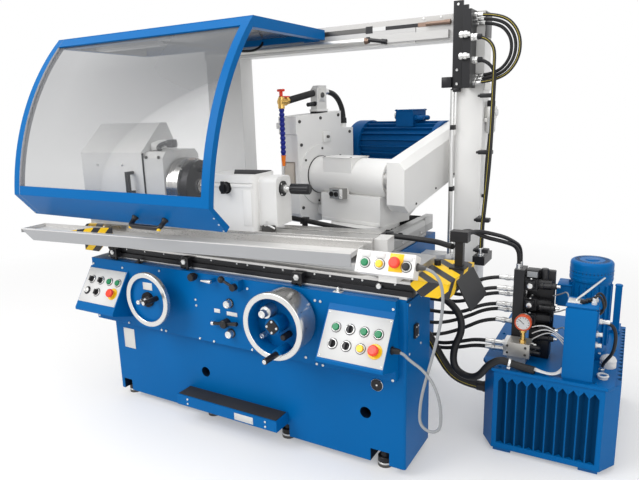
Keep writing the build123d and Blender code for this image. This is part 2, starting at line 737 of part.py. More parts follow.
def make_tray():
    floor = block(*TRAY_X, TRAY_FRONT + SHEET, -UPPER_HALF, TRAY_FLOOR, TRAY_FLOOR + SHEET)
    front = prism_y([(TRAY_X[0], TRAY_LIP), (TRAY_X[1], TRAY_LIP), (TRAY_X[1], TRAY_SKIRT),
                     (TRAY_X[0] + TRAY_CUT * 1.4, TRAY_SKIRT)], TRAY_FRONT, TRAY_FRONT + SHEET)
    lip = block(*TRAY_X, TRAY_FRONT, TRAY_FRONT + 16, TRAY_LIP - SHEET, TRAY_LIP)
    ends = []
    for x in (TRAY_X[0], TRAY_X[1] - SHEET):
        ends.append(block(x, x + SHEET, TRAY_FRONT, -UPPER_HALF, TRAY_FLOOR, TRAY_LIP))
    back = block(TRAY_X[0], UPPER_X[0], -UPPER_HALF - SHEET, -UPPER_HALF, TRAY_FLOOR, TRAY_LIP)
    tray = floor + front + lip + ends + back
    end_block = block(*END_BLOCK, -60, 30, TABLE_SPLIT + 8, TABLE_TOP - 4)
    x0, x1 = END_GUARD_X
    low, high = END_GUARD_Z
    end_guard = prism_y([(UPPER_X[0], high), (x1, high), (x0, low), (x0 + SHEET, low - 2), (x1 + 1, high - SHEET),
                         (UPPER_X[0], high - SHEET)], *END_GUARD_Y)
    return TABLE_FRAME * group(tray, end_block, end_guard)


def make_workhead():
    base = block(HEAD_BASE_X, HEAD_X[1], HEAD_Y[0] + 6, HEAD_Y[1] - 6, TABLE_TOP, HEAD_BASE_TOP)
    body = block(*HEAD_X, *HEAD_Y, HEAD_BASE_TOP, HEAD_TOP)
    body = chamfer(body.edges().filter_by(Axis.X).group_by(Axis.Z)[-1], 26)
    body -= rod_x(SPINDLE_RADIUS + RUN_FIT, HEAD_X[0] - 1, HEAD_X[1] + 1, 0, AXIS_Z)
    return TABLE_FRAME * (base + body)


def cover_outline(inset):
    slope = atan2(COVER_TOP - COVER_FOLD, COVER_TOP_Y[0] - COVER_FRONT)
    shift = inset / cos(slope) - inset * tan(slope)
    top = COVER_TOP - inset
    front = COVER_FRONT + inset
    rear = COVER_REAR - inset
    knee = COVER_TOP_Y[0] + inset * tan(slope / 2)
    return [(front, HEAD_BASE_TOP - (1 if inset else 0)), (front, COVER_FOLD - shift), (knee, top),
            (COVER_TOP_Y[1], top), (rear, COVER_FOLD), (rear, HEAD_BASE_TOP - (1 if inset else 0))]


def make_cover():
    shell = prism_x(cover_outline(0), *COVER_X)
    shell -= prism_x(cover_outline(SHEET), COVER_X[0] + SHEET, COVER_X[1] - SHEET)
    low, high = COVER_HANDLE_Z
    x = COVER_HANDLE_X
    grip = block(x - 8, x + 8, COVER_FRONT - 44, COVER_FRONT - 28, low, high)
    feet = block(x - 7, x + 7, COVER_FRONT - 30, COVER_FRONT, low, low + 14)
    feet += block(x - 7, x + 7, COVER_FRONT - 30, COVER_FRONT, high - 14, high)
    return TABLE_FRAME * group(shell, grip + feet)


def make_work_spindle():
    shaft = rod_x(SPINDLE_RADIUS, HEAD_X[0] + 2, FLANGE_X[0], 0, AXIS_Z)
    nose = rod_x(SPINDLE_RADIUS + 22, HEAD_X[1] + GAP, FLANGE_X[0], 0, AXIS_Z)
    flange = rod_x(FLANGE_RADIUS, *FLANGE_X, 0, AXIS_Z)
    plate = rod_x(PLATE_RADIUS, *PLATE_X, 0, AXIS_Z)
    plate -= rod_x(PLATE_RADIUS - 18, PLATE_X[1] - 12, PLATE_X[1] + 1, 0, AXIS_Z)
    boss = rod_x(CENTRE_RADIUS + 14, PLATE_X[1] - 12, PLATE_X[1], 0, AXIS_Z)
    tip = Pos(PLATE_X[1] + CENTRE_LENGTH / 2, 0, AXIS_Z) * Rot(0, 90, 0) * Cone(CENTRE_RADIUS, 0.5, CENTRE_LENGTH)
    pin = rod_x(8, PLATE_X[1] - 12, PLATE_X[1] + CENTRE_LENGTH - 4, 0, AXIS_Z + DRIVE_PIN_R)
    return TABLE_FRAME * (shaft + nose + flange + plate + boss + tip + pin)


def make_tailstock():
    body = block(*TAIL_X, *TAIL_Y, TABLE_TOP, TAIL_TOP)
    corner = body.edges().filter_by(Axis.Z).group_by(Axis.Y)[0]
    body = fillet(corner, 22)
    body -= block(TAIL_X[0] - 1, TAIL_X[1] + 1, TAIL_Y[0] - 1, TAIL_Y[0] + 4, TAIL_SEAM - 2, TAIL_SEAM + 2)
    arm = block(TAIL_X[1], TAIL_ARM_X, *TAIL_ARM_Y, *TAIL_ARM_Z)
    arm = fillet(arm.edges().filter_by(Axis.X).group_by(Axis.Z)[-1], 24)
    flange = rod_x(TAIL_FLANGE_RADIUS, TAIL_ARM_X, TAIL_ARM_X + TAIL_FLANGE, 0, AXIS_Z)
    body = body + arm + flange
    body -= rod_x(QUILL_RADIUS + RUN_FIT, TAIL_X[0] - 1, QUILL_BORE_END, 0, AXIS_Z)
    body -= rod_x(KNOB_SHAFT + RUN_FIT, QUILL_BORE_END - 1, TAIL_ARM_X + TAIL_FLANGE + 1, 0, AXIS_Z)
    body -= rod_y(8 + RUN_FIT, TAIL_Y[0] - 1, TAIL_Y[0] + 20, TAIL_LEVER_X, TAIL_LEVER_Z)
    return TABLE_FRAME * body


def make_quill():
    shaft = rod_x(QUILL_RADIUS, *QUILL_X, 0, AXIS_Z)
    length = 36.0
    tip = Pos(QUILL_X[0] - length / 2, 0, AXIS_Z) * Rot(0, -90, 0) * Cone(CENTRE_RADIUS, 0.5, length)
    return TABLE_FRAME * (shaft + tip)


def make_quill_knob():
    shaft = rod_x(KNOB_SHAFT, QUILL_BORE_END + 1, KNOB_X[0], 0, AXIS_Z)
    collar = rod_x(KNOB_SHAFT + 6, TAIL_ARM_X + TAIL_FLANGE, TAIL_ARM_X + TAIL_FLANGE + 14, 0, AXIS_Z)
    knob = rod_x(KNOB_RADIUS, *KNOB_X, 0, AXIS_Z)
    knob = chamfer(knob.edges().filter_by(GeomType.CIRCLE), 4)
    for i in range(6):
        a = i * pi / 3
        knob -= rod_x(5, KNOB_X[0] + 8, KNOB_X[1] - 8, KNOB_RADIUS * 1.08 * cos(a),
                      AXIS_Z + KNOB_RADIUS * 1.08 * sin(a))
    return TABLE_FRAME * (shaft + collar + knob)


def make_tail_lever():
    y = TAIL_Y[0]
    stem = rod_y(8, y - 8, y + 18, TAIL_LEVER_X, TAIL_LEVER_Z)
    hub = rod_y(20, y - 26, y, TAIL_LEVER_X, TAIL_LEVER_Z)
    bar = block(TAIL_LEVER_X - 7, TAIL_LEVER_X + 7, y - 34, y - 24, TAIL_LEVER_Z - 22, TAIL_LEVER_Z + 30)
    return TABLE_FRAME * (stem + hub + bar)


def make_wheel_slide():
    body = block(*SLIDE_X, *SLIDE_Y, WHEEL_BED_TOP, SLIDE_TOP)
    rail = block(SLIDE_X[1] - SLIDE_RAIL_WIDTH, SLIDE_X[1], *SLIDE_Y, SLIDE_TOP, SLIDE_TOP + SLIDE_RAIL)
    rail = chamfer(rail.edges().filter_by(Axis.Y).group_by(Axis.Z)[-1], 12)
    pin = rod_z(PIVOT_PIN, SLIDE_TOP, SLIDE_TOP + PIVOT_PIN_LENGTH, *HEAD_PIVOT)
    return body + rail + pin


def make_housing():
    disc = rod_z(SWIVEL_RADIUS, SLIDE_TOP, BLOCK_BOTTOM, 0, 0)
    body = block(*BLOCK_X, *BLOCK_Y, BLOCK_BOTTOM, BLOCK_TOP)
    body += block(*BLOCK_X, BLOCK_REAR_Y, BLOCK_Y[1], BLOCK_BOTTOM, AXIS_Z)
    barrel = rod_x(BARREL_RADIUS, *BARREL_X, 0, AXIS_Z)
    cap = block(*CAP_X, *CAP_Y, AXIS_Z, CAP_TOP)
    ring = rod_x(RING_RADIUS, BARREL_X[1], BARREL_X[1] + RING_LENGTH, 0, AXIS_Z)
    for i in range(8):
        a = i * pi / 4 + pi / 8
        ring -= Pos(BARREL_X[1] + RING_LENGTH / 2, RING_RADIUS * cos(a), AXIS_Z + RING_RADIUS * sin(a)) \
            * Rot(degrees(a), 0, 0) * Box(RING_LENGTH + 2, 14, 12)
    shelf = block(BLOCK_X[0] + 40, BLOCK_X[1] - 10, BLOCK_Y[1] - 1, SHELF_Y, *SHELF_Z)
    web = prism_x([(BLOCK_Y[1] - 1, BLOCK_BOTTOM), (BLOCK_Y[1] + 50, BLOCK_BOTTOM), (SHELF_Y - 40, SHELF_Z[0]),
                   (BLOCK_Y[1] - 1, SHELF_Z[0])], BLOCK_X[0] + 60, BLOCK_X[1] - 40)
    socket = block(*SOCKET_X, *SOCKET_Y, *SOCKET_Z)
    body = disc + body + barrel + cap + ring + shelf + web + socket
    body -= rod_x(WHEEL_SPINDLE + RUN_FIT, BARREL_X[0] - 1, BARREL_X[1] + RING_LENGTH + 1, 0, AXIS_Z)
    body -= rod_z(PIVOT_PIN + RUN_FIT, SLIDE_TOP - 1, SLIDE_TOP + PIVOT_PIN_LENGTH + 1, 0, 0)
    return HEAD_FRAME * body


def guard_slope(y):
    """Height of the wheel guard's top at y, from the brow to the crest."""
    a, b = GUARD_BROW, GUARD_CREST
    return a[1] + (b[1] - a[1]) * (y - a[0]) / (b[0] - a[0])


def make_wheel_guard():
    outline = [(GUARD_BROW[0], GUARD_STEP_Z), GUARD_BROW, GUARD_CREST, (GUARD_CREST[0], GUARD_REAR[1]), GUARD_REAR,
               (GUARD_REAR[0], 940.0), (190.0, GUARD_BOTTOM), (-110.0, GUARD_BOTTOM), (GUARD_LOWER_FRONT, 900.0),
               (GUARD_LOWER_FRONT, GUARD_STEP_Z)]
    body = prism_x(outline, *WHEEL_GUARD_X)
    x0 = WHEEL_X[0] - WHEEL_SIDE_CLEAR
    x1 = WHEEL_X[1] + WHEEL_SIDE_CLEAR
    body += rod_x(GUARD_DISC, WHEEL_GUARD_X[1], BARREL_X[0], 0, AXIS_Z)
    body -= rod_x(WHEEL_RADIUS + WHEEL_CLEAR, x0, x1, 0, AXIS_Z)
    body -= rod_x(WHEEL_SPINDLE + 14, x1 - 1, BARREL_X[0] + 1, 0, AXIS_Z)
    lug = block(WHEEL_GUARD_X[1], BLOCK_X[0], -20, 60, BLOCK_BOTTOM + 12, BLOCK_BOTTOM + 60)
    stub = rod_z(15, GUARD_REAR[1] - 12, STUB_TOP, COOLANT_X, STUB_Y)
    return HEAD_FRAME * (body + lug + stub)


def belt_angle():
    return degrees(atan2(MOTOR_RISE, MOTOR_Y))


def belt_span():
    return hypot(MOTOR_RISE, MOTOR_Y)


def slanted(shape):
    """From the belt frame (x along the run from the spindle, y across it) to the wheelhead frame."""
    return Plane(origin=(0, 0, AXIS_Z), x_dir=(0, cos(radians(belt_angle())), sin(radians(belt_angle()))),
                 z_dir=(1, 0, 0)).location * shape


def stadium(radius, x0, x1):
    span = belt_span()
    face = make_face(Polyline((0, -radius), (span, -radius), (span, radius), (0, radius), close=True))
    face = face + Circle(radius) + Pos(span, 0) * Circle(radius)
    return slanted(Pos(0, 0, x0) * extrude(face, x1 - x0))


def make_belt_guard():
    rise = MOTOR_RISE / MOTOR_Y
    cut_y, cut_z = BELT_CORNER
    corner = BELT_FRONT + cut_y
    outline = [(corner, BELT_LOW + rise * corner), (BELT_REAR, BELT_LOW + rise * BELT_REAR),
               (BELT_REAR, BELT_HIGH + rise * BELT_REAR), (BELT_FRONT, BELT_HIGH + rise * BELT_FRONT),
               (BELT_FRONT, BELT_LOW + rise * BELT_FRONT + cut_z)]
    body = prism_x(outline, *BELT_GUARD_X)
    body = chamfer(body.edges().group_by(Axis.X)[-1].sort_by(Axis.Z)[-1], BELT_CHAMFER)
    body -= stadium(PULLEY_RADIUS + BELT_THICK + 9, BELT_GUARD_X[0] + BELT_WALL, PULLEY_X[1] + 6)
    body -= rod_x(WHEEL_SPINDLE + 5, BELT_GUARD_X[0] - 1, BELT_GUARD_X[0] + BELT_WALL + 1, 0, AXIS_Z)
    body -= rod_x(MOTOR_SHAFT + 5, BELT_GUARD_X[0] - 1, BELT_GUARD_X[0] + BELT_WALL + 1, MOTOR_Y, AXIS_Z + MOTOR_RISE)
    return HEAD_FRAME * body


def make_motor():
    z = AXIS_Z + MOTOR_RISE
    fan_end = MOTOR_X[0] + MOTOR_FAN
    flange_x = MOTOR_X[1] - MOTOR_FLANGE
    body = rod_x(MOTOR_RADIUS, fan_end, flange_x, MOTOR_Y, z)
    fan = rod_x(MOTOR_RADIUS + MOTOR_FIN + 6, MOTOR_X[0], fan_end, MOTOR_Y, z)
    fan = fillet(fan.edges().filter_by(GeomType.CIRCLE).sort_by(Axis.X)[0], 20)
    flange = rod_x(MOTOR_RADIUS + MOTOR_FIN, flange_x, MOTOR_X[1], MOTOR_Y, z)
    for i in range(22):
        a = radians(-80 + i * 360 / 22)
        fin = Pos((fan_end + flange_x) / 2, MOTOR_Y + (MOTOR_RADIUS + MOTOR_FIN / 2 - 2) * cos(a),
                  z + (MOTOR_RADIUS + MOTOR_FIN / 2 - 2) * sin(a)) * Rot(degrees(a), 0, 0) \
            * Box(flange_x - fan_end, MOTOR_FIN + 4, 5)
        body += fin
    box = block(*TERMINAL_X, MOTOR_Y - 70, MOTOR_Y + 50, z + MOTOR_RADIUS - 12, TERMINAL_TOP)
    foot = block(BLOCK_X[0] + 50, flange_x - 20, MOTOR_Y - 95, MOTOR_Y + 95, SHELF_Z[1], z - 60)
    eye = rod_z(9, z + MOTOR_RADIUS - 6, z + MOTOR_RADIUS + 34, TERMINAL_X[0] - 40, MOTOR_Y)
    body = body + fan + flange + box + foot + eye
    body -= rod_x(MOTOR_SHAFT + RUN_FIT, flange_x - 40, MOTOR_X[1] + 1, MOTOR_Y, z)
    return HEAD_FRAME * body


def make_belts():
    shapes = []
    count = 3
    pitch = (PULLEY_X[1] - PULLEY_X[0]) / count
    for i in range(count):
        x0 = PULLEY_X[0] + pitch * i + 3
        x1 = x0 + pitch - 6
        ring = stadium(PULLEY_RADIUS + BELT_THICK, x0, x1) - stadium(PULLEY_RADIUS + BELT_FIT, x0 - 1, x1 + 1)
        shapes.append(ring)
    return HEAD_FRAME * group(*shapes)


def make_wheel():
    body = rod_x(WHEEL_RADIUS, *WHEEL_X, 0, AXIS_Z) - rod_x(WHEEL_BORE, WHEEL_X[0] - 1, WHEEL_X[1] + 1, 0, AXIS_Z)
    return HEAD_FRAME * body


def make_wheel_spindle():
    shaft = rod_x(WHEEL_SPINDLE, WHEEL_X[0] - 4, PULLEY_X[1], 0, AXIS_Z)
    hub = rod_x(WHEEL_BORE, WHEEL_X[0] - 4, WHEEL_X[1] + 4, 0, AXIS_Z)
    pulley = rod_x(PULLEY_RADIUS, *PULLEY_X, 0, AXIS_Z)
    return HEAD_FRAME * (shaft + hub + pulley)


def make_motor_pulley():
    z = AXIS_Z + MOTOR_RISE
    shaft = rod_x(MOTOR_SHAFT, MOTOR_X[1] - MOTOR_FLANGE - 38, PULLEY_X[1], MOTOR_Y, z)
    pulley = rod_x(PULLEY_RADIUS, *PULLEY_X, MOTOR_Y, z)
    return HEAD_FRAME * (shaft + pulley)


def make_coolant_arm():
    x = COOLANT_X
    y0, y1 = COOLANT_Y
    bracket = prism_x([(y0, guard_slope(y0)), (y1, guard_slope(y1)), (y1, COOLANT_TOP), (y0 + 20, COOLANT_TOP),
                       (y0, COOLANT_TOP - 20)], x - 22, x + 22)
    pipe = rod_between((x, y0 + 6, COOLANT_PIPE_Z), (x, ELBOW_Y + 10, ELBOW_Z), 11)
    elbow = rod_z(16, ELBOW_Z - 30, ELBOW_Z + 18, x, ELBOW_Y)
    elbow += rod_y(18, ELBOW_Y - 10, ELBOW_Y + 30, x, ELBOW_Z + 1)
    elbow -= rod_z(5 + RUN_FIT, ELBOW_Z + 4, ELBOW_Z + 19, x, ELBOW_Y)
    top = ELBOW_Z - 30
    profile = [(0, 0)]
    for i in range(SEGMENTS):
        z = -i * SEGMENT
        profile.append((SEGMENT_RADIUS, z))
        profile.append((SEGMENT_RADIUS + 1.5, z - SEGMENT * 0.35))
        profile.append((SEGMENT_RADIUS - 3, z - SEGMENT * 0.9))
    low = -SEGMENTS * SEGMENT
    profile.append((SEGMENT_RADIUS, low))
    profile.append((SEGMENT_RADIUS * 0.6, low - NOZZLE_LENGTH))
    profile.append((0, low - NOZZLE_LENGTH))
    face = make_face(Plane.XZ * Polyline(*profile, close=True))
    line = Pos(x, ELBOW_Y, top) * revolve(face, Axis.Z)
    return HEAD_FRAME * group(bracket + pipe + elbow + line)


def make_coolant_valve():
    x = COOLANT_X
    top = ELBOW_Z + 18
    stem = rod_z(5, top - 12, top + 6, x, ELBOW_Y)
    lever = block(x - 6, x + 6, ELBOW_Y - 8, ELBOW_Y + 52, top + 4, top + 10)
    return HEAD_FRAME * (stem + lever)


def hood_centre():
    """Centre and radius of the hood's front arc in the (y, z) plane."""
    dy = HOOD_CROWN[0] - HOOD_FOLD[0]
    dz = HOOD_CROWN[1] - HOOD_FOLD[1]
    chord = hypot(dy, dz)
    radius = ((chord / 2) ** 2 + HOOD_BULGE ** 2) / (2 * HOOD_BULGE)
    mid = ((HOOD_FOLD[0] + HOOD_CROWN[0]) / 2, (HOOD_FOLD[1] + HOOD_CROWN[1]) / 2)
    reach = radius - HOOD_BULGE
    return (mid[0] + reach * dz / chord, mid[1] - reach * dy / chord), radius


def hood_point(point, inset):
    centre, radius = hood_centre()
    k = inset / radius
    return (point[0] + (centre[0] - point[0]) * k, point[1] + (centre[1] - point[1]) * k)


def hood_mid(inset):
    """Point of the inset arc halfway along it."""
    centre, radius = hood_centre()
    mid = ((HOOD_FOLD[0] + HOOD_CROWN[0]) / 2, (HOOD_FOLD[1] + HOOD_CROWN[1]) / 2)
    length = hypot(mid[0] - centre[0], mid[1] - centre[1])
    k = (radius - inset) / length
    return (centre[0] + (mid[0] - centre[0]) * k, centre[1] + (mid[1] - centre[1]) * k)


def hood_angle(point):
    centre, radius = hood_centre()
    return atan2(point[1] - centre[1], point[0] - centre[0])


def arc_at(angle, inset):
    centre, radius = hood_centre()
    return (centre[0] + (radius - inset) * cos(angle), centre[1] + (radius - inset) * sin(angle))


def fold_inner(inset):
    """Inner corner at the fold for the straight lower part."""
    dy = HOOD_FOLD[0] - HOOD_TIP[0]
    dz = HOOD_FOLD[1] - HOOD_TIP[1]
    length = hypot(dy, dz)
    return (dz / length * inset, -dy / length * inset)


def crown_bar():
    """Front top bar of the hood."""
    high = HOOD_CROWN[1]
    return block(*HOOD_X, HOOD_CROWN[0] - 2, HOOD_CROWN[0] + HOOD_BAR + 6, high - HOOD_BAR, high)


def make_hood_frame():
    shift = fold_inner(HOOD_BAND)
    tip_in = (HOOD_TIP[0] + shift[0], HOOD_TIP[1] + shift[1])
    crown_in = hood_point(HOOD_CROWN, HOOD_BAND)
    fold_in = hood_point(HOOD_FOLD, HOOD_BAND)
    shapes = []
    edges = [
        Line(HOOD_TIP, HOOD_FOLD),
        ThreePointArc(HOOD_FOLD, hood_mid(0), HOOD_CROWN),
        Line(HOOD_CROWN, crown_in),
        ThreePointArc(crown_in, hood_mid(HOOD_BAND), fold_in),
        Line(fold_in, tip_in),
        Line(tip_in, HOOD_TIP),
    ]
    face = make_face(edges)
    x0, x1 = HOOD_X
    low, high = HOOD_CROWN[1] - HOOD_BAR, HOOD_CROWN[1]
    frame = None
    for x in (x0, x1 - HOOD_TUBE):
        arch = extrude(Plane.YZ.offset(x) * face, HOOD_TUBE)
        bar = block(x, x + HOOD_TUBE, HOOD_CROWN[0] - 2, HOOD_REAR, low, high)
        frame = arch + bar if frame is None else frame + arch + bar
    frame += crown_bar()
    frame += block(x0, x1, HOOD_REAR - 25, HOOD_REAR, low, high)
    start = hood_angle(HOOD_FOLD)
    step = HOOD_RAIL / hood_centre()[1]
    rail = [HOOD_FOLD, arc_at(start - step, 0), arc_at(start - step, HOOD_BAND), fold_in]
    frame += prism_x(rail, x0, x1)
    skin = fold_inner(SHEET)
    panel = [HOOD_FOLD, HOOD_TIP, (HOOD_TIP[0] + skin[0], HOOD_TIP[1] + skin[1]),
             (HOOD_FOLD[0] + skin[0], HOOD_FOLD[1] + skin[1])]
    frame += prism_x(panel, x0, x1)
    for x in TROLLEY_X:
        frame += block(x, x + TROLLEY_WIDTH, HOOD_REAR, BEAM_Y[0] - 1, RAIL_Z[1], high)
    length = hypot(HOOD_FOLD[0] - HOOD_TIP[0], HOOD_FOLD[1] - HOOD_TIP[1])
    k = HANDLE_DROP / length
    base_y = HOOD_FOLD[0] + (HOOD_TIP[0] - HOOD_FOLD[0]) * k
    base_z = HOOD_FOLD[1] + (HOOD_TIP[1] - HOOD_FOLD[1]) * k
    out = fold_inner(HANDLE_REACH)
    path = FilletPolyline((HANDLE_X[0], base_y, base_z), (HANDLE_X[0], base_y - out[0], base_z - out[1]),
                          (HANDLE_X[1], base_y - out[0], base_z - out[1]), (HANDLE_X[1], base_y, base_z), radius=20)
    bow = sweep(Plane(origin=path @ 0, z_dir=path % 0) * Circle(HANDLE_RADIUS), path=path)
    return group(frame, bow)


def make_hood_glazing():
    x0, x1 = HOOD_X[0] + HOOD_TUBE, HOOD_X[1] - HOOD_TUBE
    start = hood_angle(HOOD_FOLD) - HOOD_RAIL / hood_centre()[1]
    end = hood_angle(HOOD_CROWN) + 4 / hood_centre()[1]
    mid = (start + end) / 2
    near, far = 8.0, 8.0 + GLAZING
    edges = [
        ThreePointArc(arc_at(start, near), arc_at(mid, near), arc_at(end, near)),
        Line(arc_at(end, near), arc_at(end, far)),
        ThreePointArc(arc_at(end, far), arc_at(mid, far), arc_at(start, far)),
        Line(arc_at(start, far), arc_at(start, near)),
    ]
    curved = extrude(Plane.YZ.offset(x0) * make_face(edges), x1 - x0)
    curved -= crown_bar()
    z = HOOD_CROWN[1] - 14
    top = block(x0, x1, HOOD_CROWN[0] + HOOD_BAR + 6, HOOD_REAR - 25, z - GLAZING, z)
    return group(curved, top)


def handwheel(centre, radius, front, drum):
    x, z = centre
    rim = rod_y(radius, front, front + RIM_WIDTH, x, z) \
        - rod_y(radius - RIM_THICK, front - 1, front + RIM_WIDTH + 1, x, z)
    rim = fillet(rim.edges().filter_by(GeomType.CIRCLE), 5)
    back = front + RIM_WIDTH
    body = rim
    if drum:
        body += rod_y(radius - 10, back - 4, back + DRUM_DEPTH, x, z) \
            - rod_y(radius - RIM_THICK, back - 5, back + DRUM_FLOOR, x, z) \
            - rod_y(radius - RIM_THICK, back + DRUM_FLOOR + 10, back + DRUM_DEPTH + 1, x, z)
    else:
        body += rod_y(radius - RIM_THICK / 2, back - 9, back - 1, x, z)
    body += rod_y(WHEEL_HUB, front + 6, -APRON_THICK, x, z)
    body += rod_y(WHEEL_SHAFT, -APRON_THICK, -2, x, z)
    return body


def grip(centre, offset, seat):
    """Turning grip on a fixed pin; the pin stands on the wheel at seat."""
    x, z = centre[0] + offset[0], centre[1] + offset[1]
    body = rod_y(GRIP_RADIUS, seat - GAP - GRIP_LENGTH, seat - GAP, x, z)
    body = fillet(body.edges().filter_by(GeomType.CIRCLE).sort_by(Axis.Y)[0], 6)
    return body - rod_y(GRIP_PIN + RUN_FIT, seat - GRIP_LENGTH + 12, seat + 1, x, z)


def grip_pin(centre, offset, seat):
    x, z = centre[0] + offset[0], centre[1] + offset[1]
    return rod_y(GRIP_PIN, seat - GRIP_LENGTH + 14, seat + 2, x, z)


def table_seat():
    return TABLE_WHEEL_FRONT + RIM_WIDTH - 9


def infeed_seat():
    return INFEED_WHEEL_FRONT + RIM_WIDTH + DRUM_FLOOR


def make_table_wheel():
    body = handwheel(TABLE_WHEEL_AT, TABLE_WHEEL_RADIUS, TABLE_WHEEL_FRONT, False)
    return body + grip_pin(TABLE_WHEEL_AT, TABLE_GRIP_OFFSET, table_seat())


def make_infeed_wheel():
    body = handwheel(INFEED_WHEEL_AT, INFEED_WHEEL_RADIUS, INFEED_WHEEL_FRONT, True)
    x, z = INFEED_WHEEL_AT[0] + INFEED_GRIP_OFFSET[0], INFEED_WHEEL_AT[1] + INFEED_GRIP_OFFSET[1]
    lug = rod_y(20, INFEED_WHEEL_FRONT - 4, infeed_seat() + 1, x, z)
    return body + lug + grip_pin(INFEED_WHEEL_AT, INFEED_GRIP_OFFSET, INFEED_WHEEL_FRONT - 4)


def make_start_lever():
    x, z = START_LEVER_AT
    y = -APRON_THICK
    stem = rod_y(8, y - 4, -8, x, z)
    hub = rod_y(19, y - 30, y, x, z)
    bar = block(x - START_LEVER_REACH, x + START_LEVER_REACH, y - 26, y - 12, z - 7, z + 7)
    bar = fillet(bar.edges().filter_by(Axis.X), 5)
    return stem + hub + Pos(x, 0, z) * Rot(0, -7, 0) * Pos(-x, 0, -z) * bar


def make_reverse_lever():
    x, z = REVERSE_AT
    stem = rod_y(8, -78, -APRON_THICK - 4, x, z)
    hub = rod_y(15, -84, -64, x, z)
    end = (x - REVERSE_REACH, -74, z + 26)
    arm = rod_between((x, -74, z), end, 6)
    along = Vector(*end) - Vector(x, -74, z)
    ball = Plane(origin=end, z_dir=along).location * Sphere(15)
    return stem + hub + arm + ball


def tank_outline(out):
    """Outline of the tank with two cut front corners, moved outward by out."""
    x0, x1 = -out, TANK_WIDTH + out
    y0, y1 = -out, TANK_DEPTH + out
    return [(x0 + TANK_CORNER_X, y0), (x1 - TANK_CORNER_X, y0), (x1, y0 + TANK_CORNER_Y), (x1, y1), (x0, y1),
            (x0, y0 + TANK_CORNER_Y)]


def make_tank():
    body = prism_z(tank_outline(0), TANK_BOTTOM, TANK_TOP)
    low, high = TANK_BOTTOM + 24, TANK_TOP - 24
    flat = TANK_WIDTH - 2 * TANK_CORNER_X
    count = int((flat - 30) // RIB_PITCH)
    first = (TANK_WIDTH - (count - 1) * RIB_PITCH) / 2
    for i in range(count):
        body -= Pos(first + i * RIB_PITCH, 0, (low + high) / 2) * Rot(0, 0, 45) * Box(RIB_CUT, RIB_CUT, high - low)
    side = int((TANK_DEPTH - TANK_CORNER_Y - 40) // RIB_PITCH)
    first = (TANK_DEPTH + TANK_CORNER_Y - (side - 1) * RIB_PITCH) / 2
    for i in range(side):
        body -= Pos(TANK_WIDTH, first + i * RIB_PITCH, (low + TANK_TOP + 1) / 2) * Rot(0, 0, 45) \
            * Box(RIB_CUT, RIB_CUT, TANK_TOP + 1 - low)
    body -= prism_z(tank_outline(-TANK_WALL), TANK_BOTTOM + TANK_WALL / 2, TANK_TOP + 1)
    return TANK_FRAME * body


def make_lid():
    right = TANK_WIDTH + LID_LIP - TANK_CORNER_X
    run = (LID_RIGHT - right) * TANK_CORNER_Y / TANK_CORNER_X
    outline = [(TANK_CORNER_X - LID_LIP, -LID_LIP), (right, -LID_LIP), (LID_RIGHT, run - LID_LIP),
               (LID_RIGHT, TANK_DEPTH + LID_LIP), (-LID_LIP, TANK_DEPTH + LID_LIP), (-LID_LIP, TANK_CORNER_Y - LID_LIP)]
    body = prism_z(outline, TANK_TOP, LID_TOP)
    breather = rod_z(30, LID_TOP, LID_TOP + 24, *BREATHER_AT)
    ring = rod_z(19, LID_TOP, LID_TOP + 8, *FILLER_AT)
    x, y = LID_POST_AT
    post = block(x - 14, x + 14, y - 14, y + 14, LID_TOP, LID_POST_TOP)
    return TANK_FRAME * (body + breather + ring + post)


def make_pump_motor():
    x, y = PUMP_AT
    bell = rod_z(PUMP_MOTOR_RADIUS + 6, LID_TOP, LID_TOP + 26, x, y)
    body = rod_z(PUMP_MOTOR_RADIUS, LID_TOP + 26, PUMP_MOTOR_TOP - 80, x, y)
    for i in range(18):
        a = 2 * pi * i / 18
        body += Pos(x + (PUMP_MOTOR_RADIUS + 3) * cos(a), y + (PUMP_MOTOR_RADIUS + 3) * sin(a),
                    (LID_TOP + PUMP_MOTOR_TOP) / 2 - 20) * Rot(0, 0, degrees(a)) \
            * Box(12, 4, PUMP_MOTOR_TOP - LID_TOP - 150)
    fan = rod_z(PUMP_MOTOR_RADIUS + 8, PUMP_MOTOR_TOP - 80, PUMP_MOTOR_TOP, x, y)
    fan = fillet(fan.edges().filter_by(GeomType.CIRCLE).sort_by(Axis.Z)[-1], 14)
    box = block(x - PUMP_MOTOR_RADIUS - 44, x - PUMP_MOTOR_RADIUS + 14, y - 45, y + 45, 580, 668)
    pump = rod_z(PUMP_RADIUS, TANK_TOP - PUMP_LENGTH, TANK_TOP, x, y)
    return TANK_FRAME * group(bell + body + fan + box, pump)


def port_height(i):
    return PORT_FIRST + PORT_PITCH * i


def port_row(i):
    mid = (TOWER_Y[0] + TOWER_Y[1]) / 2
    return mid - 21 if i % 2 == 0 else mid + 21


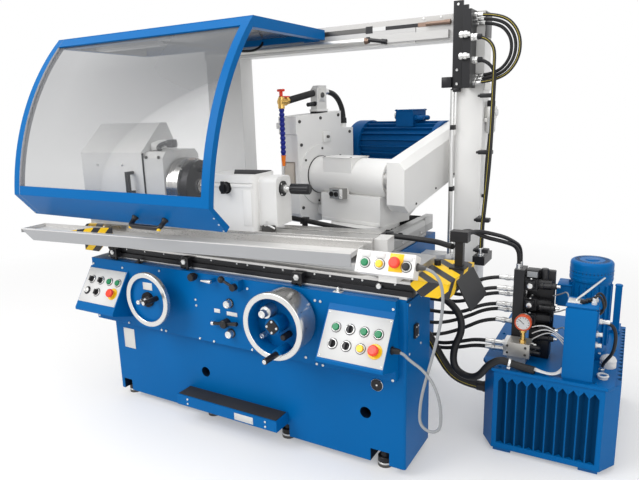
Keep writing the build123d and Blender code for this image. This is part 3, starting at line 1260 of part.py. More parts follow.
def make_valves():
    block_low = block(*MANIFOLD_X, *MANIFOLD_Y, *MANIFOLD_Z)
    plinth = block(MANIFOLD_X[0] + 15, MANIFOLD_X[1] - 15, MANIFOLD_Y[0] + 10, MANIFOLD_Y[1] - 10,
                   LID_TOP, MANIFOLD_Z[0])
    tower = block(*TOWER_X, *TOWER_Y, LID_TOP, TOWER_TOP)
    x1 = TOWER_X[1]
    mid = (TOWER_Y[0] + TOWER_Y[1]) / 2
    valves = []
    for z0 in VALVE_Z:
        valve = block(x1, x1 + VALVE_REACH * 0.55, mid - 30, mid + 30, z0, z0 + VALVE_HEIGHT)
        coil = rod_x(21, x1 + VALVE_REACH * 0.55, x1 + VALVE_REACH, mid, z0 + VALVE_HEIGHT / 2)
        valves.append(valve + coil)
    for i in range(PRESSURE_PORTS):
        tower += rod_x(FITTING_RADIUS, TOWER_X[0] - FITTING_LENGTH, TOWER_X[0], port_row(i), port_height(i))
    tower += rod_z(FITTING_RADIUS, TOWER_TOP, TOWER_TOP + 22, TOWER_X[0] + 14, mid - 21)
    tower += rod_z(FITTING_RADIUS, TOWER_TOP, TOWER_TOP + 22, TOWER_X[0] + 14, mid + 21)
    gx, gz = GAUGE_AT
    gauge = rod_y(GAUGE_RADIUS, *GAUGE_Y, gx, gz)
    stem = rod_z(9, MANIFOLD_Z[1], gz - GAUGE_RADIUS + 4, gx, (GAUGE_Y[0] + GAUGE_Y[1]) / 2)
    whole = tower
    for valve in valves:
        whole += valve
    return TANK_FRAME * group(whole, block_low + plinth + stem + gauge)


def make_cabinet():
    body = block(*CABINET_X, *CABINET_Y, LID_TOP, CABINET_TOP)
    return TANK_FRAME * fillet(body.edges().filter_by(Axis.Z), 6)


def pressure_points(i):
    start = in_frame(TANK_FRAME, TOWER_X[0] - FITTING_LENGTH, port_row(i), port_height(i))
    away = in_frame(TANK_FRAME, TOWER_X[0] - FITTING_LENGTH - 70, port_row(i), port_height(i))
    end_x = WHEEL_BED_X[1] + PORT_THICK
    end_y = PORT_Y[0] + 70 + 30 * i
    end_z = PORT_Z[0] + 60 + 45 * i
    span = away[0] - end_x - 70
    drop = away[2] - end_z
    return [start, away, (away[0] - span * 0.36, away[1] - 16, away[2] - 40 - drop * 0.3),
            (away[0] - span * 0.68, end_y + 12, end_z - 8), (end_x + 70, end_y, end_z), (end_x, end_y, end_z)]


def return_points():
    end = in_frame(TANK_FRAME, 0, RETURN_Y, RETURN_Z)
    near = in_frame(TANK_FRAME, -72, RETURN_Y, RETURN_Z)
    start_x = WHEEL_BED_X[1] + PORT_THICK
    start_y = PORT_Y[0] + 40
    start_z = RETURN_Z + 242
    return [(start_x, start_y, start_z), (start_x + 80, start_y, start_z), (start_x + 152, start_y, start_z - 40),
            (start_x + 204, start_y + 2, start_z - 135), (near[0] - 76, near[1] - 6, near[2] + 30), near, end]


def table_hose_points(i):
    shift = -21.0 if i == 0 else 21.0
    mid = (TOWER_Y[0] + TOWER_Y[1]) / 2
    start = in_frame(TANK_FRAME, TOWER_X[0] + 14, mid + shift, TOWER_TOP + 22)
    end_y = POST_Y[1] + 10
    end_x = (POST_X[0] + POST_X[1]) / 2 + shift * 0.8
    end_z = POST_TOP - 18
    reach = hypot(end_x - start[0], end_y - start[1])
    turn = TABLE_HOSE_TURN

    def along(distance, rise):
        k = distance / reach
        return (start[0] + (end_x - start[0]) * k, start[1] + (end_y - start[1]) * k, start[2] + rise)

    return [start, along(0, turn), along(turn * 0.5, turn * 1.866), along(turn * 1.366, turn * 2.366),
            along(turn * 3.2, turn * 3.1 + shift * 0.2), along(reach * 0.58, turn * 3.8 + shift * 0.3),
            (end_x + 22, end_y + 112, end_z - 7), (end_x, end_y + 56, end_z), (end_x, end_y, end_z)]


def loop_points(i):
    """Loop out of the hose box and back into it: a half turn in four corners of 45 degrees."""
    radius = LOOP_RADIUS - 15 * i
    x = HOSE_BOX_X[1]
    y = HOSE_BOX_Y[0] + 46 + 18 * i
    centre_x = x + LOOP_STRETCH * radius
    points = [(x, y, LOOP_Z + radius)]
    for k in range(4):
        a = radians(67.5 - 45 * k)
        reach = radius / cos(radians(22.5))
        points.append((centre_x + reach * cos(a), y, LOOP_Z + reach * sin(a)))
    points.append((x, y, LOOP_Z - radius))
    return points


def drop_points(i):
    """Hose out of the hose box that bends down and hangs to the clamp on the column."""
    x = HOSE_BOX_X[1]
    y = HOSE_BOX_Y[0] + 12 + 16 * i
    top = LOOP_Z + 46 - 92 * i
    turn = DROP_TURN
    line = x + turn * 2.366
    fall = top - turn * 1.366 - CLAMP_Z[1]
    end = line - 31
    return [(x, y, top), (x + turn, y, top), (x + turn * 1.866, y, top - turn * 0.5),
            (line, y, top - turn * 1.366), (line - 1, y, CLAMP_Z[1] + fall * 0.91),
            (line - 3, y - 1, CLAMP_Z[1] + fall * 0.745), (line - 7, y, CLAMP_Z[1] + fall * 0.525),
            (line - 20, y, CLAMP_Z[1] + fall * 0.305), (end, y, CLAMP_Z[1] + fall * 0.125), (end, y, CLAMP_Z[1])]


def cable_points():
    x = BOX_X[1]
    y = box_plane(x, 0).origin.Y + 24
    z = box_plane(x, 0).origin.Z - 8
    end_x = CONSOLE_RIGHT_X[1]
    end_z = CONSOLE_FRONT_Z + 52
    turn_x = x + 58
    turn_z = z - 560
    near = CABLE_TURN * tan(radians(22.5))
    return [(x, y, z), (x + 46, y, z), (x + 84, y - 4, z - 34), (x + 97, y - 6, z - 94), (x + 90, y - 8, z - 188),
            (x + 66, y - 8, z - 300), (x + 40, y - 8, z - 404), (x + 26, y - 8, z - 464), (x + 19, y - 8, z - 520),
            (turn_x - CABLE_TURN, y - 9, turn_z - near), (turn_x - near, y - 11, turn_z - CABLE_TURN),
            (turn_x + near, y - 13, turn_z - CABLE_TURN), (turn_x + CABLE_TURN, y - 15, turn_z - near),
            (x + 100, y - 16, z - 520), (x + 92, y - 17, z - 464), (x + 72, y - 18, z - 412),
            (x + 34, y - 18, z - 366), (x - 20, y - 18, end_z - 24), (end_x + 40, y - 18, end_z),
            (end_x, y - 18, end_z)]


def coolant_hose_points():
    x = COOLANT_X
    z = COOLANT_TOP - 30
    y = COOLANT_Y[1]
    local = [(x, y, z), (x, y + 52, z), (x, y + 104, z - 24), (x, y + 140, z - 70), (x, STUB_Y, z - 122),
             (x, STUB_Y, STUB_TOP)]
    return [in_frame(HEAD_FRAME, *p) for p in local]


def make_hydraulic_hoses():
    tubes = []
    for i in range(PRESSURE_PORTS):
        tubes.append(hose("pressure hose", pressure_points(i), HOSE))
    tubes.append(hose("return hose", return_points(), HOSE_RETURN))
    return group(*tubes)


def make_table_hoses():
    tubes = []
    for i in range(2):
        tubes.append(hose("table hose", table_hose_points(i), HOSE_TABLE))
    return group(*tubes)


def make_column_hoses():
    tubes = []
    for i in range(3):
        tubes.append(hose("loop hose", loop_points(i), HOSE_COLUMN))
    for i in range(2):
        tubes.append(hose("drop hose", drop_points(i), HOSE_COLUMN))
    return group(*tubes)


def make_panel_parts():
    parts = {}
    for name, plane in list(right_planes().items()) + list(left_planes().items()):
        if "stop" in name:
            parts[name] = mushroom(plane)
        elif "selector" in name or "knob" in name:
            parts[name] = selector(plane)
        else:
            parts[name] = push_button(plane)
    parts["box_emergency_stop"] = mushroom(box_plane(BOX_STOP_X, BOX_STEP))
    return parts


def make_all():
    nodes = {
        "bed": make_bed(),
        "levelling_feet": make_feet(),
        "foot_step": make_step(),
        "front_apron": make_apron(),
        "wheel_bed": make_wheel_bed(),
        "columns": make_columns(),
        "overhead_beam": make_beam(),
        "hydraulic_tank": make_tank(),
        "tank_lid": make_lid(),
        "pump_motor": make_pump_motor(),
        "valve_block": make_valves(),
        "electrical_box": make_cabinet(),
        "hydraulic_hoses": make_hydraulic_hoses(),
        "table_hoses": make_table_hoses(),
        "column_hoses": make_column_hoses(),
        "box_cable": hose("box cable", cable_points(), CABLE),
        "lower_table": make_lower_table(),
        "dog_rail": make_dog_rail(),
        "way_guards": make_way_guards(),
        "button_box": make_button_box(),
        "upper_table": make_upper_table(),
        "coolant_tray": make_tray(),
        "workhead": make_workhead(),
        "workhead_cover": make_cover(),
        "work_spindle": make_work_spindle(),
        "tailstock": make_tailstock(),
        "tailstock_quill": make_quill(),
        "quill_knob": make_quill_knob(),
        "tailstock_lever": make_tail_lever(),
        "wheel_slide": make_wheel_slide(),
        "wheelhead_housing": make_housing(),
        "wheel_guard": make_wheel_guard(),
        "belt_guard": make_belt_guard(),
        "wheel_motor": make_motor(),
        "drive_belts": make_belts(),
        "grinding_wheel": make_wheel(),
        "wheel_spindle": make_wheel_spindle(),
        "motor_pulley": make_motor_pulley(),
        "coolant_arm": make_coolant_arm(),
        "coolant_valve": make_coolant_valve(),
        "coolant_hose": hose("coolant hose", coolant_hose_points(), HOSE_COOLANT),
        "hood_frame": make_hood_frame(),
        "hood_glazing": make_hood_glazing(),
        "table_handwheel": make_table_wheel(),
        "table_grip": grip(TABLE_WHEEL_AT, TABLE_GRIP_OFFSET, table_seat()),
        "infeed_handwheel": make_infeed_wheel(),
        "infeed_grip": grip(INFEED_WHEEL_AT, INFEED_GRIP_OFFSET, INFEED_WHEEL_FRONT - 4),
        "start_lever": make_start_lever(),
        "reversing_lever": make_reverse_lever(),
    }
    nodes.update(make_panel_parts())
    return nodes


if __name__ == "__main__":
    os.makedirs("parts", exist_ok=True)
    for name, shape in make_all().items():
        moved = Pos(-FRAME_X, -FRAME_Y, 0) * shape
        export_step(moved, f"parts/{name}.step")
    print("nodes written")
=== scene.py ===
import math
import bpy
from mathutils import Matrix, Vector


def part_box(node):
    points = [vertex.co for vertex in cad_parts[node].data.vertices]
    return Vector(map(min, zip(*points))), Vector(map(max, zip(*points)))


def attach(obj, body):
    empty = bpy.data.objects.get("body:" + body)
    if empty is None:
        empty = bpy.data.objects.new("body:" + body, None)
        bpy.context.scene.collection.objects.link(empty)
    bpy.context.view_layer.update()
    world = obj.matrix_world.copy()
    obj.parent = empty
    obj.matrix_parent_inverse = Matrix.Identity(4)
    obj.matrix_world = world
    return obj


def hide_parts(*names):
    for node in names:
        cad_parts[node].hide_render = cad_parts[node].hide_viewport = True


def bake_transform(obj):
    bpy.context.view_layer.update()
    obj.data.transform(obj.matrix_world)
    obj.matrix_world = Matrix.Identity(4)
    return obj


bl_info = {
    "name": "Cylindrical grinder",
    "version": (1, 0, 0),
    "blender": (4, 5, 0),
    "location": "3D View > Sidebar > Grinder",
    "description": "Finishes, hoses and trim of a cylindrical grinder with a hood and a hydraulic unit",
    "category": "Object",
}

from collections import namedtuple
from itertools import product

import bmesh
import bpy
from bpy.props import FloatProperty, FloatVectorProperty, PointerProperty
from mathutils import Matrix, Vector

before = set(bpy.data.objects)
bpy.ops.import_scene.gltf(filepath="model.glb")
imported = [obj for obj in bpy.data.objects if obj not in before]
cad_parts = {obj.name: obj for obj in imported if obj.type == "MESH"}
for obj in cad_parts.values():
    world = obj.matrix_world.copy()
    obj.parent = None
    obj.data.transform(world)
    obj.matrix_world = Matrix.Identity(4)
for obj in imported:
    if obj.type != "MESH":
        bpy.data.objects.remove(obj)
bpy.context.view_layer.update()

# Frames of the machine, in millimetres: x = 0 at the middle of the bed, y = 0 at its front and
# z = 0 on the floor
BED_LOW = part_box("bed")[0]
BED_HALF = 0.780
ORIGIN = Vector((BED_LOW.x + BED_HALF, BED_LOW.y, 0.0))
MM = 0.001


def turned_frame(x, y, degrees):
    """Frame turned about an upright axis."""
    return MACHINE @ Matrix.Translation((x, y, 0)) @ Matrix.Rotation(math.radians(degrees), 4, "Z")


def sloped_frame(y, z, up):
    """Frame on a sloping face: x to the right, y up the slope, z outward."""
    up = Vector((0, *up)).normalized()
    out = Vector((1, 0, 0)).cross(up)
    turn = Matrix((Vector((1, 0, 0)), up, out)).transposed().to_4x4()
    return MACHINE @ Matrix.Translation((0, y, z)) @ turn


MACHINE = Matrix.Translation(ORIGIN) @ Matrix.Scale(MM, 4)
TABLE_SWIVEL = 6.31
HEAD_SWIVEL = -12.98
TANK_YAW = 1.2
TABLE_AT = (0.0, 142.0)
HEAD_AT = (324.0, 624.0)
TANK_AT = (974.0, 341.0)
TABLE = turned_frame(*TABLE_AT, TABLE_SWIVEL)
HEAD = turned_frame(*HEAD_AT, HEAD_SWIVEL)
TANK = turned_frame(*TANK_AT, TANK_YAW)
CONSOLE = sloped_frame(-89.0, 593.5, (118.0, 181.0))
BOX_FACE = sloped_frame(-76.0, 877.0, (32.0, 74.0))
HOOD_RISE = (-97.0, 110.0)
HOOD_FACE = sloped_frame(-103.0, 938.0, HOOD_RISE)

# Directions in any of these frames
PLUS_X, MINUS_X = (1, 0, 0), (-1, 0, 0)
PLUS_Y, MINUS_Y = (0, 1, 0), (0, -1, 0)
PLUS_Z, MINUS_Z = (0, 0, 1), (0, 0, -1)

# Heights, faces and centres shared by several pieces, in millimetres
APRON_FACE = -30.0
AXIS_Z = 1085.0
LID_TOP = 373.0
LIFT_HOLES = (-199.0, 613.0)
FRONT_FEET = (-740.0, -212.0, 211.0, 673.0)
PORT_X = 564.0
TABLE_WHEEL = (-399.0, 598.0)
INFEED_WHEEL = (299.0, 599.0)
BEAM_FRONT = 764.0
FLANGE_Z = 1777.0
CHANNEL_END = 521.0
ROD_Z = 1767.0
NOZZLE_TOP = 1195.5


class GrinderColours(bpy.types.PropertyGroup):
    """Colours of the paints and plastics."""

    def colour(label, text, value):
        return FloatVectorProperty(name=label, description=text, subtype="COLOR", size=3, min=0, max=1,
                                   default=value)

    blue: colour("Blue paint", "Bed, apron, hood frame and hydraulic unit", (0.0003, 0.110, 0.335))
    motor_blue: colour("Motor paint", "Wheelhead motor", (0.0012, 0.070, 0.225))
    white: colour("White paint", "Workhead, tailstock, wheelhead and columns", (0.77, 0.765, 0.75))
    # The tray grey is painted shade for the tray's front skirt, which faces down and away from the lamps.
    grey: colour("Tray grey", "Front of the coolant tray", (0.36, 0.365, 0.375))
    steel: colour("Ground steel", "Table, flanges and handwheel rims", (0.60, 0.59, 0.575))
    zinc: colour("Zinc plating", "Screws and hose fittings", (0.70, 0.70, 0.69))
    black: colour("Black", "Rails, knobs, levers and brackets", (0.012, 0.012, 0.014))
    rubber: colour("Hose rubber", "Hoses and the flap", (0.014, 0.014, 0.015))
    cable: colour("Cable grey", "Cable of the button box", (0.27, 0.28, 0.29))
    yellow: colour("Yellow", "Hazard stripes and stop rings", (0.88, 0.55, 0.012))
    red: colour("Red", "Stop buttons and the coolant lever", (0.76, 0.045, 0.018))
    green: colour("Green", "Start buttons", (0.004, 0.20, 0.075))
    orange: colour("Orange", "Coolant nozzle and the gauge ring", (0.86, 0.20, 0.015))
    segment_blue: colour("Segment blue", "Coolant segments", (0.006, 0.016, 0.23))
    brass: colour("Brass", "Coolant elbow and gauge stem", (0.72, 0.46, 0.14))
    floor: colour("Floor", "Studio floor", (0.88, 0.875, 0.87))


class GrinderSizes(bpy.types.PropertyGroup):
    """Sizes that a user would change."""

    edge: FloatProperty(name="Edge radius", description="Softened edges of castings",
                        default=0.0025, unit="LENGTH")
    peel: FloatProperty(name="Paint texture", description="Depth of the paint's orange peel",
                        default=0.00018, unit="LENGTH")
    stripe: FloatProperty(name="Stripe pitch", description="Pitch of the hazard stripes",
                          default=0.098, unit="LENGTH")
    glazing: FloatProperty(name="Glazing", description="How much of the light the hood glazing stops",
                           default=0.08, min=0, max=1, subtype="FACTOR")
    lens: FloatProperty(name="Lens", description="Focal length of the camera", default=32.51, unit="CAMERA")
    light: FloatProperty(name="Light", description="Share of the studio lamps' power",
                         default=0.62, min=0, max=2, subtype="FACTOR")


def colours():
    return bpy.context.scene.grinder_colours


def sizes():
    return bpy.context.scene.grinder_sizes


# Shader maths

class Sock:
    """A shader socket that takes arithmetic: an expression adds Math nodes to the finish it belongs to."""

    def __init__(self, finish, socket):
        self.finish = finish
        self.socket = socket

    def math(self, operation, first, second):
        return self.finish.node("ShaderNodeMath", {"operation": operation}, {0: first, 1: second})

    def maths(operation):
        """Method that adds a Math node with this operation."""
        return lambda self, other: self.math(operation, self, other)

    __add__ = __radd__ = maths("ADD")
    __sub__ = maths("SUBTRACT")
    __mul__ = __rmul__ = maths("MULTIPLY")
    __truediv__ = maths("DIVIDE")
    __mod__ = maths("FLOORED_MODULO")
    __gt__ = maths("GREATER_THAN")
    __lt__ = maths("LESS_THAN")
    __pow__ = maths("POWER")

    def __rsub__(self, other):
        return self.math("SUBTRACT", other, self)


Look = namedtuple("Look", "colour roughness metallic")


class Finish:
    """A material, or the world, under construction, with one method that adds any node."""

    def __init__(self, name, world=False):
        self.made = bpy.data.worlds.new(name) if world else bpy.data.materials.new(name)
        self.made.use_nodes = True
        self.end = "ShaderNodeOutputWorld" if world else "ShaderNodeOutputMaterial"
        self.tree = self.made.node_tree
        self.tree.nodes.clear()
        self.places = {}

    def node(self, kind, settings=None, inputs=None, out=0):
        made = self.tree.nodes.new(kind)
        for key, value in (settings or {}).items():
            setattr(made, key, value)
        for key, value in (inputs or {}).items():
            if isinstance(value, Sock):
                self.tree.links.new(value.socket, made.inputs[key])
            else:
                made.inputs[key].default_value = value
        return Sock(self, made.outputs[out])

    def surface(self, shader):
        end = self.tree.nodes.new(self.end)
        self.tree.links.new(shader.socket, end.inputs["Surface"])
        return self.made

    def seen(self):
        """1 where the background shows: straight from the camera, mirrored or through a sheet."""
        camera, mirrored, through = (self.node("ShaderNodeLightPath", out=f"Is {kind} Ray")
                                     for kind in ("Camera", "Glossy", "Transmission"))
        return self.node("ShaderNodeClamp", {}, {"Value": camera + mirrored + through})

    def place(self):
        """Position on the piece at rest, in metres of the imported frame."""
        if "object" not in self.places:
            self.places["object"] = self.node("ShaderNodeTexCoord", out="Object")
        return self.places["object"]

    def axes(self, matrix):
        """Coordinates in a frame of the machine, in millimetres, as three sockets."""
        key = tuple(round(v, 6) for row in matrix for v in row)
        if key not in self.places:
            back = matrix.inverted()
            rows = []
            for row in list(back)[:3]:
                dot = self.node("ShaderNodeVectorMath", {"operation": "DOT_PRODUCT"},
                                {0: self.place(), 1: tuple(row[:3])}, out="Value")
                rows.append(dot + row[3])
            self.places[key] = rows
        return self.places[key]

    def noise(self, scale, detail=2.0, stretch=None):
        place = self.place()
        if stretch:
            place = self.node("ShaderNodeVectorMath", {"operation": "MULTIPLY"}, {0: place, 1: stretch})
        return self.node("ShaderNodeTexNoise", {}, {"Vector": place, "Scale": scale, "Detail": detail})

    def ramp(self, value, low, high):
        """0 up to a low value, 1 from a high one on."""
        return self.node("ShaderNodeClamp", {}, {"Value": (value - low) / (high - low)})

    def blend(self, share, first, second):
        """Colour between two colours."""
        first = first if isinstance(first, Sock) else (*first, 1.0)
        second = second if isinstance(second, Sock) else (*second, 1.0)
        return self.node("ShaderNodeMix", {"data_type": "RGBA"}, {0: share, 6: first, 7: second}, out=2)


def shade(colour, factor):
    return tuple(min(1.0, c * factor) for c in colour)


FINISHES = {}
PAINT_GLOSS = 0.08
CLOUD_SCALE = 5.0
ROUGHNESS_SPREAD = 0.15
BRUSH_DEPTH = 0.22
COAT_ROUGHNESS = 0.12


def coated(name, base, zones=(), texture=0.5, cloud=0.06, coat=0.0, gloss=0.3, brushed=None, grain=420.0,
           edge=True):
    """Paint, plastic or metal: a base look, zones with looks of their own, a fine texture and soft edges."""
    f = Finish(name)
    drift = f.noise(CLOUD_SCALE, 3.0)
    colour = f.blend(drift, shade(base.colour, 1 - cloud), shade(base.colour, 1 + cloud))
    fine = f.noise(1.0, 2.0, brushed) if brushed else f.noise(grain, 1.0)
    roughness = base.roughness * (1 - ROUGHNESS_SPREAD) + drift * (base.roughness * 2 * ROUGHNESS_SPREAD)
    if brushed:
        roughness = roughness + (fine - 0.5) * BRUSH_DEPTH
    metallic = base.metallic
    for mask, look in zones:
        share = mask(f)
        zone = f.blend(drift, shade(look.colour, 1 - cloud), shade(look.colour, 1 + cloud))
        colour = f.blend(share, colour, zone)
        roughness = roughness + share * (look.roughness - roughness)
        if isinstance(metallic, Sock) or look.metallic != metallic:
            metallic = share * (look.metallic - metallic) + metallic
    normal = {"Strength": texture, "Distance": sizes().peel, "Height": fine}
    if edge:
        normal["Normal"] = f.node("ShaderNodeBevel", {"samples": 4}, {"Radius": sizes().edge})
    inputs = {"Base Color": colour, "Roughness": roughness, "Metallic": metallic, "Specular IOR Level": gloss,
              "Normal": f.node("ShaderNodeBump", {}, normal)}
    if coat:
        inputs["Coat Weight"] = coat
        inputs["Coat Roughness"] = COAT_ROUGHNESS
    FINISHES[name] = f.surface(f.node("ShaderNodeBsdfPrincipled", {}, inputs))
    return FINISHES[name]


def both(*masks):
    """Mask that is 1 where all of these are."""
    def mask(f):
        shares = [m(f) for m in masks]
        return math.prod(shares[1:], start=shares[0])
    return mask


def zone(matrix, **spans):
    """Mask that is 1 in a block of a frame: x, y and z take a low and a high plane, None where it is open."""
    def mask(f):
        tests = []
        for axis, (low, high) in spans.items():
            value = f.axes(matrix)["xyz".index(axis)]
            if low is not None:
                tests.append(value > low)
            if high is not None:
                tests.append(value < high)
        return math.prod(tests[1:], start=tests[0])
    return mask


def near_axis(matrix, first, second, centre, radius):
    """Mask that is 1 inside a cylinder along a frame's third axis."""
    def mask(f):
        axes = f.axes(matrix)
        a = axes[first] - centre[0]
        b = axes[second] - centre[1]
        return (a * a + b * b) < radius * radius
    return mask


STRIPE_LEAN = (0.9, 1.1)
STRIPE_SHARE = 0.52


def stripes(f):
    """Mask of hazard stripes that lean about 45 degrees on the top and on the front."""
    x, y, z = f.axes(MACHINE)
    run = (x + y * STRIPE_LEAN[0] - z * STRIPE_LEAN[1]) / (sizes().stripe / MM)
    return (run % 1.0) > STRIPE_SHARE


ROOF_ALPHA = 0.82


def make_glazing():
    """Clear sheet with a grey cast that grows towards the top and the right, and a nearly opaque roof whose
    dark tint is painted shade on its underside.
    """
    f = Finish("hood_glazing")
    x, y, z = f.axes(MACHINE)
    rise = f.ramp(z, 1180, 1600)
    across = f.ramp(x, -900, -100)
    roof = zone(MACHINE, y=(195, None), z=(1764, None))(f)
    fresnel = f.node("ShaderNodeFresnel", {}, {"IOR": 1.3})
    sheet = fresnel * 0.3 + rise * (across * 0.30 + 0.12) + sizes().glazing
    alpha = sheet + roof * (ROOF_ALPHA - sheet)
    tint = f.blend(f.noise(3.0), (0.155, 0.16, 0.168), (0.185, 0.19, 0.196))
    # The roof's dark tint is painted shade: only its underside shows, and that lies in shade.
    tint = f.blend(roof, tint, (0.08, 0.083, 0.088))
    shader = f.node("ShaderNodeBsdfPrincipled", {}, {"Base Color": tint, "Roughness": 0.12, "Alpha": alpha,
                                                    "Specular IOR Level": 0.25})
    FINISHES["hood_glazing"] = f.surface(shader)


def make_finishes():
    c = colours()
    blue = Look(c.blue, 0.36, 0.0)
    white = Look(c.white, 0.40, 0.0)
    steel = Look(c.steel, 0.30, 0.92)
    zinc = Look(c.zinc, 0.28, 0.95)
    black = Look(c.black, 0.36, 0.0)
    plastic = Look(c.black, 0.30, 0.0)
    stripe = Look(shade(c.black, 2.5), 0.36, 0.0)
    rubber = Look(c.rubber, 0.50, 0.0)
    yellow = Look(c.yellow, 0.38, 0.0)
    brass = Look(c.brass, 0.27, 0.95)
    orange = Look(c.orange, 0.40, 0.0)
    gauge_red = Look((0.66, 0.10, 0.035), 0.38, 0.0)

    # Finishes with one look
    coated("blue_paint", blue, gloss=PAINT_GLOSS)
    coated("motor_paint", Look(c.motor_blue, 0.36, 0.0), gloss=PAINT_GLOSS)
    coated("white_paint", white)
    coated("white_plate", Look((0.66, 0.66, 0.655), 0.42, 0.0), texture=0.15, cloud=0.02)
    coated("ground_steel", steel, brushed=(9, 700, 700), texture=0.35)
    coated("turned_steel", Look(c.steel, 0.24, 0.95), brushed=(500, 60, 60), texture=0.25)
    coated("zinc", zinc, texture=0.2, grain=900.0)
    coated("brass", brass, texture=0.2, grain=900.0)
    coated("black_paint", black, texture=0.4)
    coated("black_plastic", plastic, texture=0.3, grain=1400.0)
    coated("rubber", rubber, texture=0.5, grain=1500.0, edge=False)
    coated("mat", Look(shade(c.rubber, 1.8), 0.72, 0.0), texture=1.0, grain=160.0, cloud=0.35)
    coated("cable", Look(c.cable, 0.42, 0.0), texture=0.3, grain=1500.0, edge=False)
    coated("red_plastic", Look(c.red, 0.25, 0.0), texture=0.1, coat=0.2)
    coated("green_plastic", Look(c.green, 0.28, 0.0), texture=0.1)
    coated("yellow_plastic", yellow, texture=0.1, coat=0.3)
    coated("gauge_case", gauge_red, texture=0.1)
    coated("bronze", Look((0.20, 0.14, 0.11), 0.36, 0.8), texture=0.2)
    coated("hose_mark", Look((0.50, 0.40, 0.04), 0.5, 0.0), texture=0.1, edge=False)
    coated("stripes", yellow, [(stripes, stripe)])
    coated("aluminium", Look((0.66, 0.655, 0.63), 0.42, 0.75), brushed=(40, 40, 600), texture=0.3)
    coated("dark_steel", Look((0.09, 0.088, 0.085), 0.38, 0.8), texture=0.4)
    coated("wheel_grit", Look((0.55, 0.50, 0.44), 0.85, 0.0), texture=1.0, grain=700.0, cloud=0.15)
    coated("lower_table", Look((0.55, 0.555, 0.56), 0.34, 0.7), brushed=(9, 600, 600), texture=0.3)
    make_glazing()

    # Finishes of parts whose casting carries several looks, some of them painted shade
    upright = zone(MACHINE, y=(None, BEAM_FRONT), z=(1474, None))
    conduit = zone(MACHINE, x=(None, 722), y=(None, BEAM_FRONT), z=(719, 1474))
    clamp = zone(MACHINE, x=(836, None), z=(None, 745))
    coated("columns", white, [(upright, black), (conduit, zinc), (clamp, black)])
    # Painted shade: the front of the beam is painted in greys darker than its white paint, for the grey tones
    # that shade gives the white beam; the flange's grey stands for the shaded strip along its top edge.
    flange = zone(MACHINE, z=(FLANGE_Z, None))
    channel = zone(MACHINE, x=(None, CHANNEL_END), y=(None, BEAM_FRONT), z=(1700, FLANGE_Z))
    face = zone(MACHINE, x=(CHANNEL_END, None), y=(None, BEAM_FRONT), z=(None, FLANGE_Z))
    rail = zone(MACHINE, y=(None, 759))
    coated("beam", white, [(flange, Look((0.50, 0.49, 0.475), 0.42, 0.1)),
                           (channel, Look((0.50, 0.495, 0.49), 0.4, 0.1)),
                           (face, Look((0.56, 0.555, 0.545), 0.42, 0.0)),
                           (rail, Look((0.47, 0.465, 0.455), 0.42, 0.3))])
    flap = zone(MACHINE, x=(943, None))
    guard_top = zone(MACHINE, z=(812.5, None))
    coated("hazard", yellow, [(stripes, stripe), (flap, rubber), (guard_top, black)])
    coated("rail_black", black, [(zone(MACHINE, y=(None, -26.4)), zinc)])
    # Painted shade: the tray's front skirt faces down and away from the lamps and is painted grey for the
    # shade on it.
    skirt = zone(TABLE, y=(None, -226), z=(None, 881.8))
    end_guard = zone(TABLE, x=(None, -761), y=(-87, None), z=(844, None))
    coated("tray", Look((0.64, 0.63, 0.615), 0.40, 0.2),
           [(skirt, Look(c.grey, 0.36, 0.35)), (end_guard, yellow), (both(end_guard, stripes), stripe)],
           cloud=0.04)
    coated("cover", Look((0.86, 0.855, 0.84), 0.40, 0.0), [(zone(TABLE, y=(None, -133)), black)])
    centre = near_axis(TABLE, 1, 2, (0, AXIS_Z), 31)
    driver = both(zone(TABLE, x=(-284.9, None)), lambda f: 1 - centre(f))
    coated("spindle", Look(c.steel, 0.22, 0.95), [(driver, Look((0.03, 0.03, 0.032), 0.33, 0.6))],
           brushed=(500, 60, 60), texture=0.25)
    rim = Look((0.66, 0.655, 0.64), 0.26, 0.9)
    dish, hub = (near_axis(MACHINE, 0, 2, TABLE_WHEEL, radius) for radius in (101.3, 34.5))
    coated("table_wheel", rim, [(dish, blue), (both(hub, zone(MACHINE, y=(None, -110))), black)],
           texture=0.08, grain=260.0, gloss=PAINT_GLOSS)
    bowl, nave = (near_axis(MACHINE, 0, 2, INFEED_WHEEL, radius) for radius in (112.5, 36.0))
    coated("infeed_wheel", rim, [(bowl, blue), (nave, Look(shade(c.blue, 0.8), 0.34, 0.0))],
           texture=0.08, grain=260.0, gloss=PAINT_GLOSS)
    sill = both(zone(HOOD_FACE, z=(1.2, None)), zone(MACHINE, z=(None, 1040)))
    seal = zone(MACHINE, x=(-1110.8, -1109.4), y=(None, 700))
    coated("hood", blue, [(sill, black), (seal, Look((0.42, 0.42, 0.44), 0.5, 0.0))], gloss=PAINT_GLOSS)
    tank_feet = zone(MACHINE, x=(930, None))
    coated("feet", Look((0.10, 0.095, 0.09), 0.36, 0.75),
           [(zone(MACHINE, z=(13, 20.2)), zinc), (tank_feet, blue)])
    coated("wheel_bed", blue, [(zone(MACHINE, x=(550.6, None)), black)], gloss=PAINT_GLOSS)
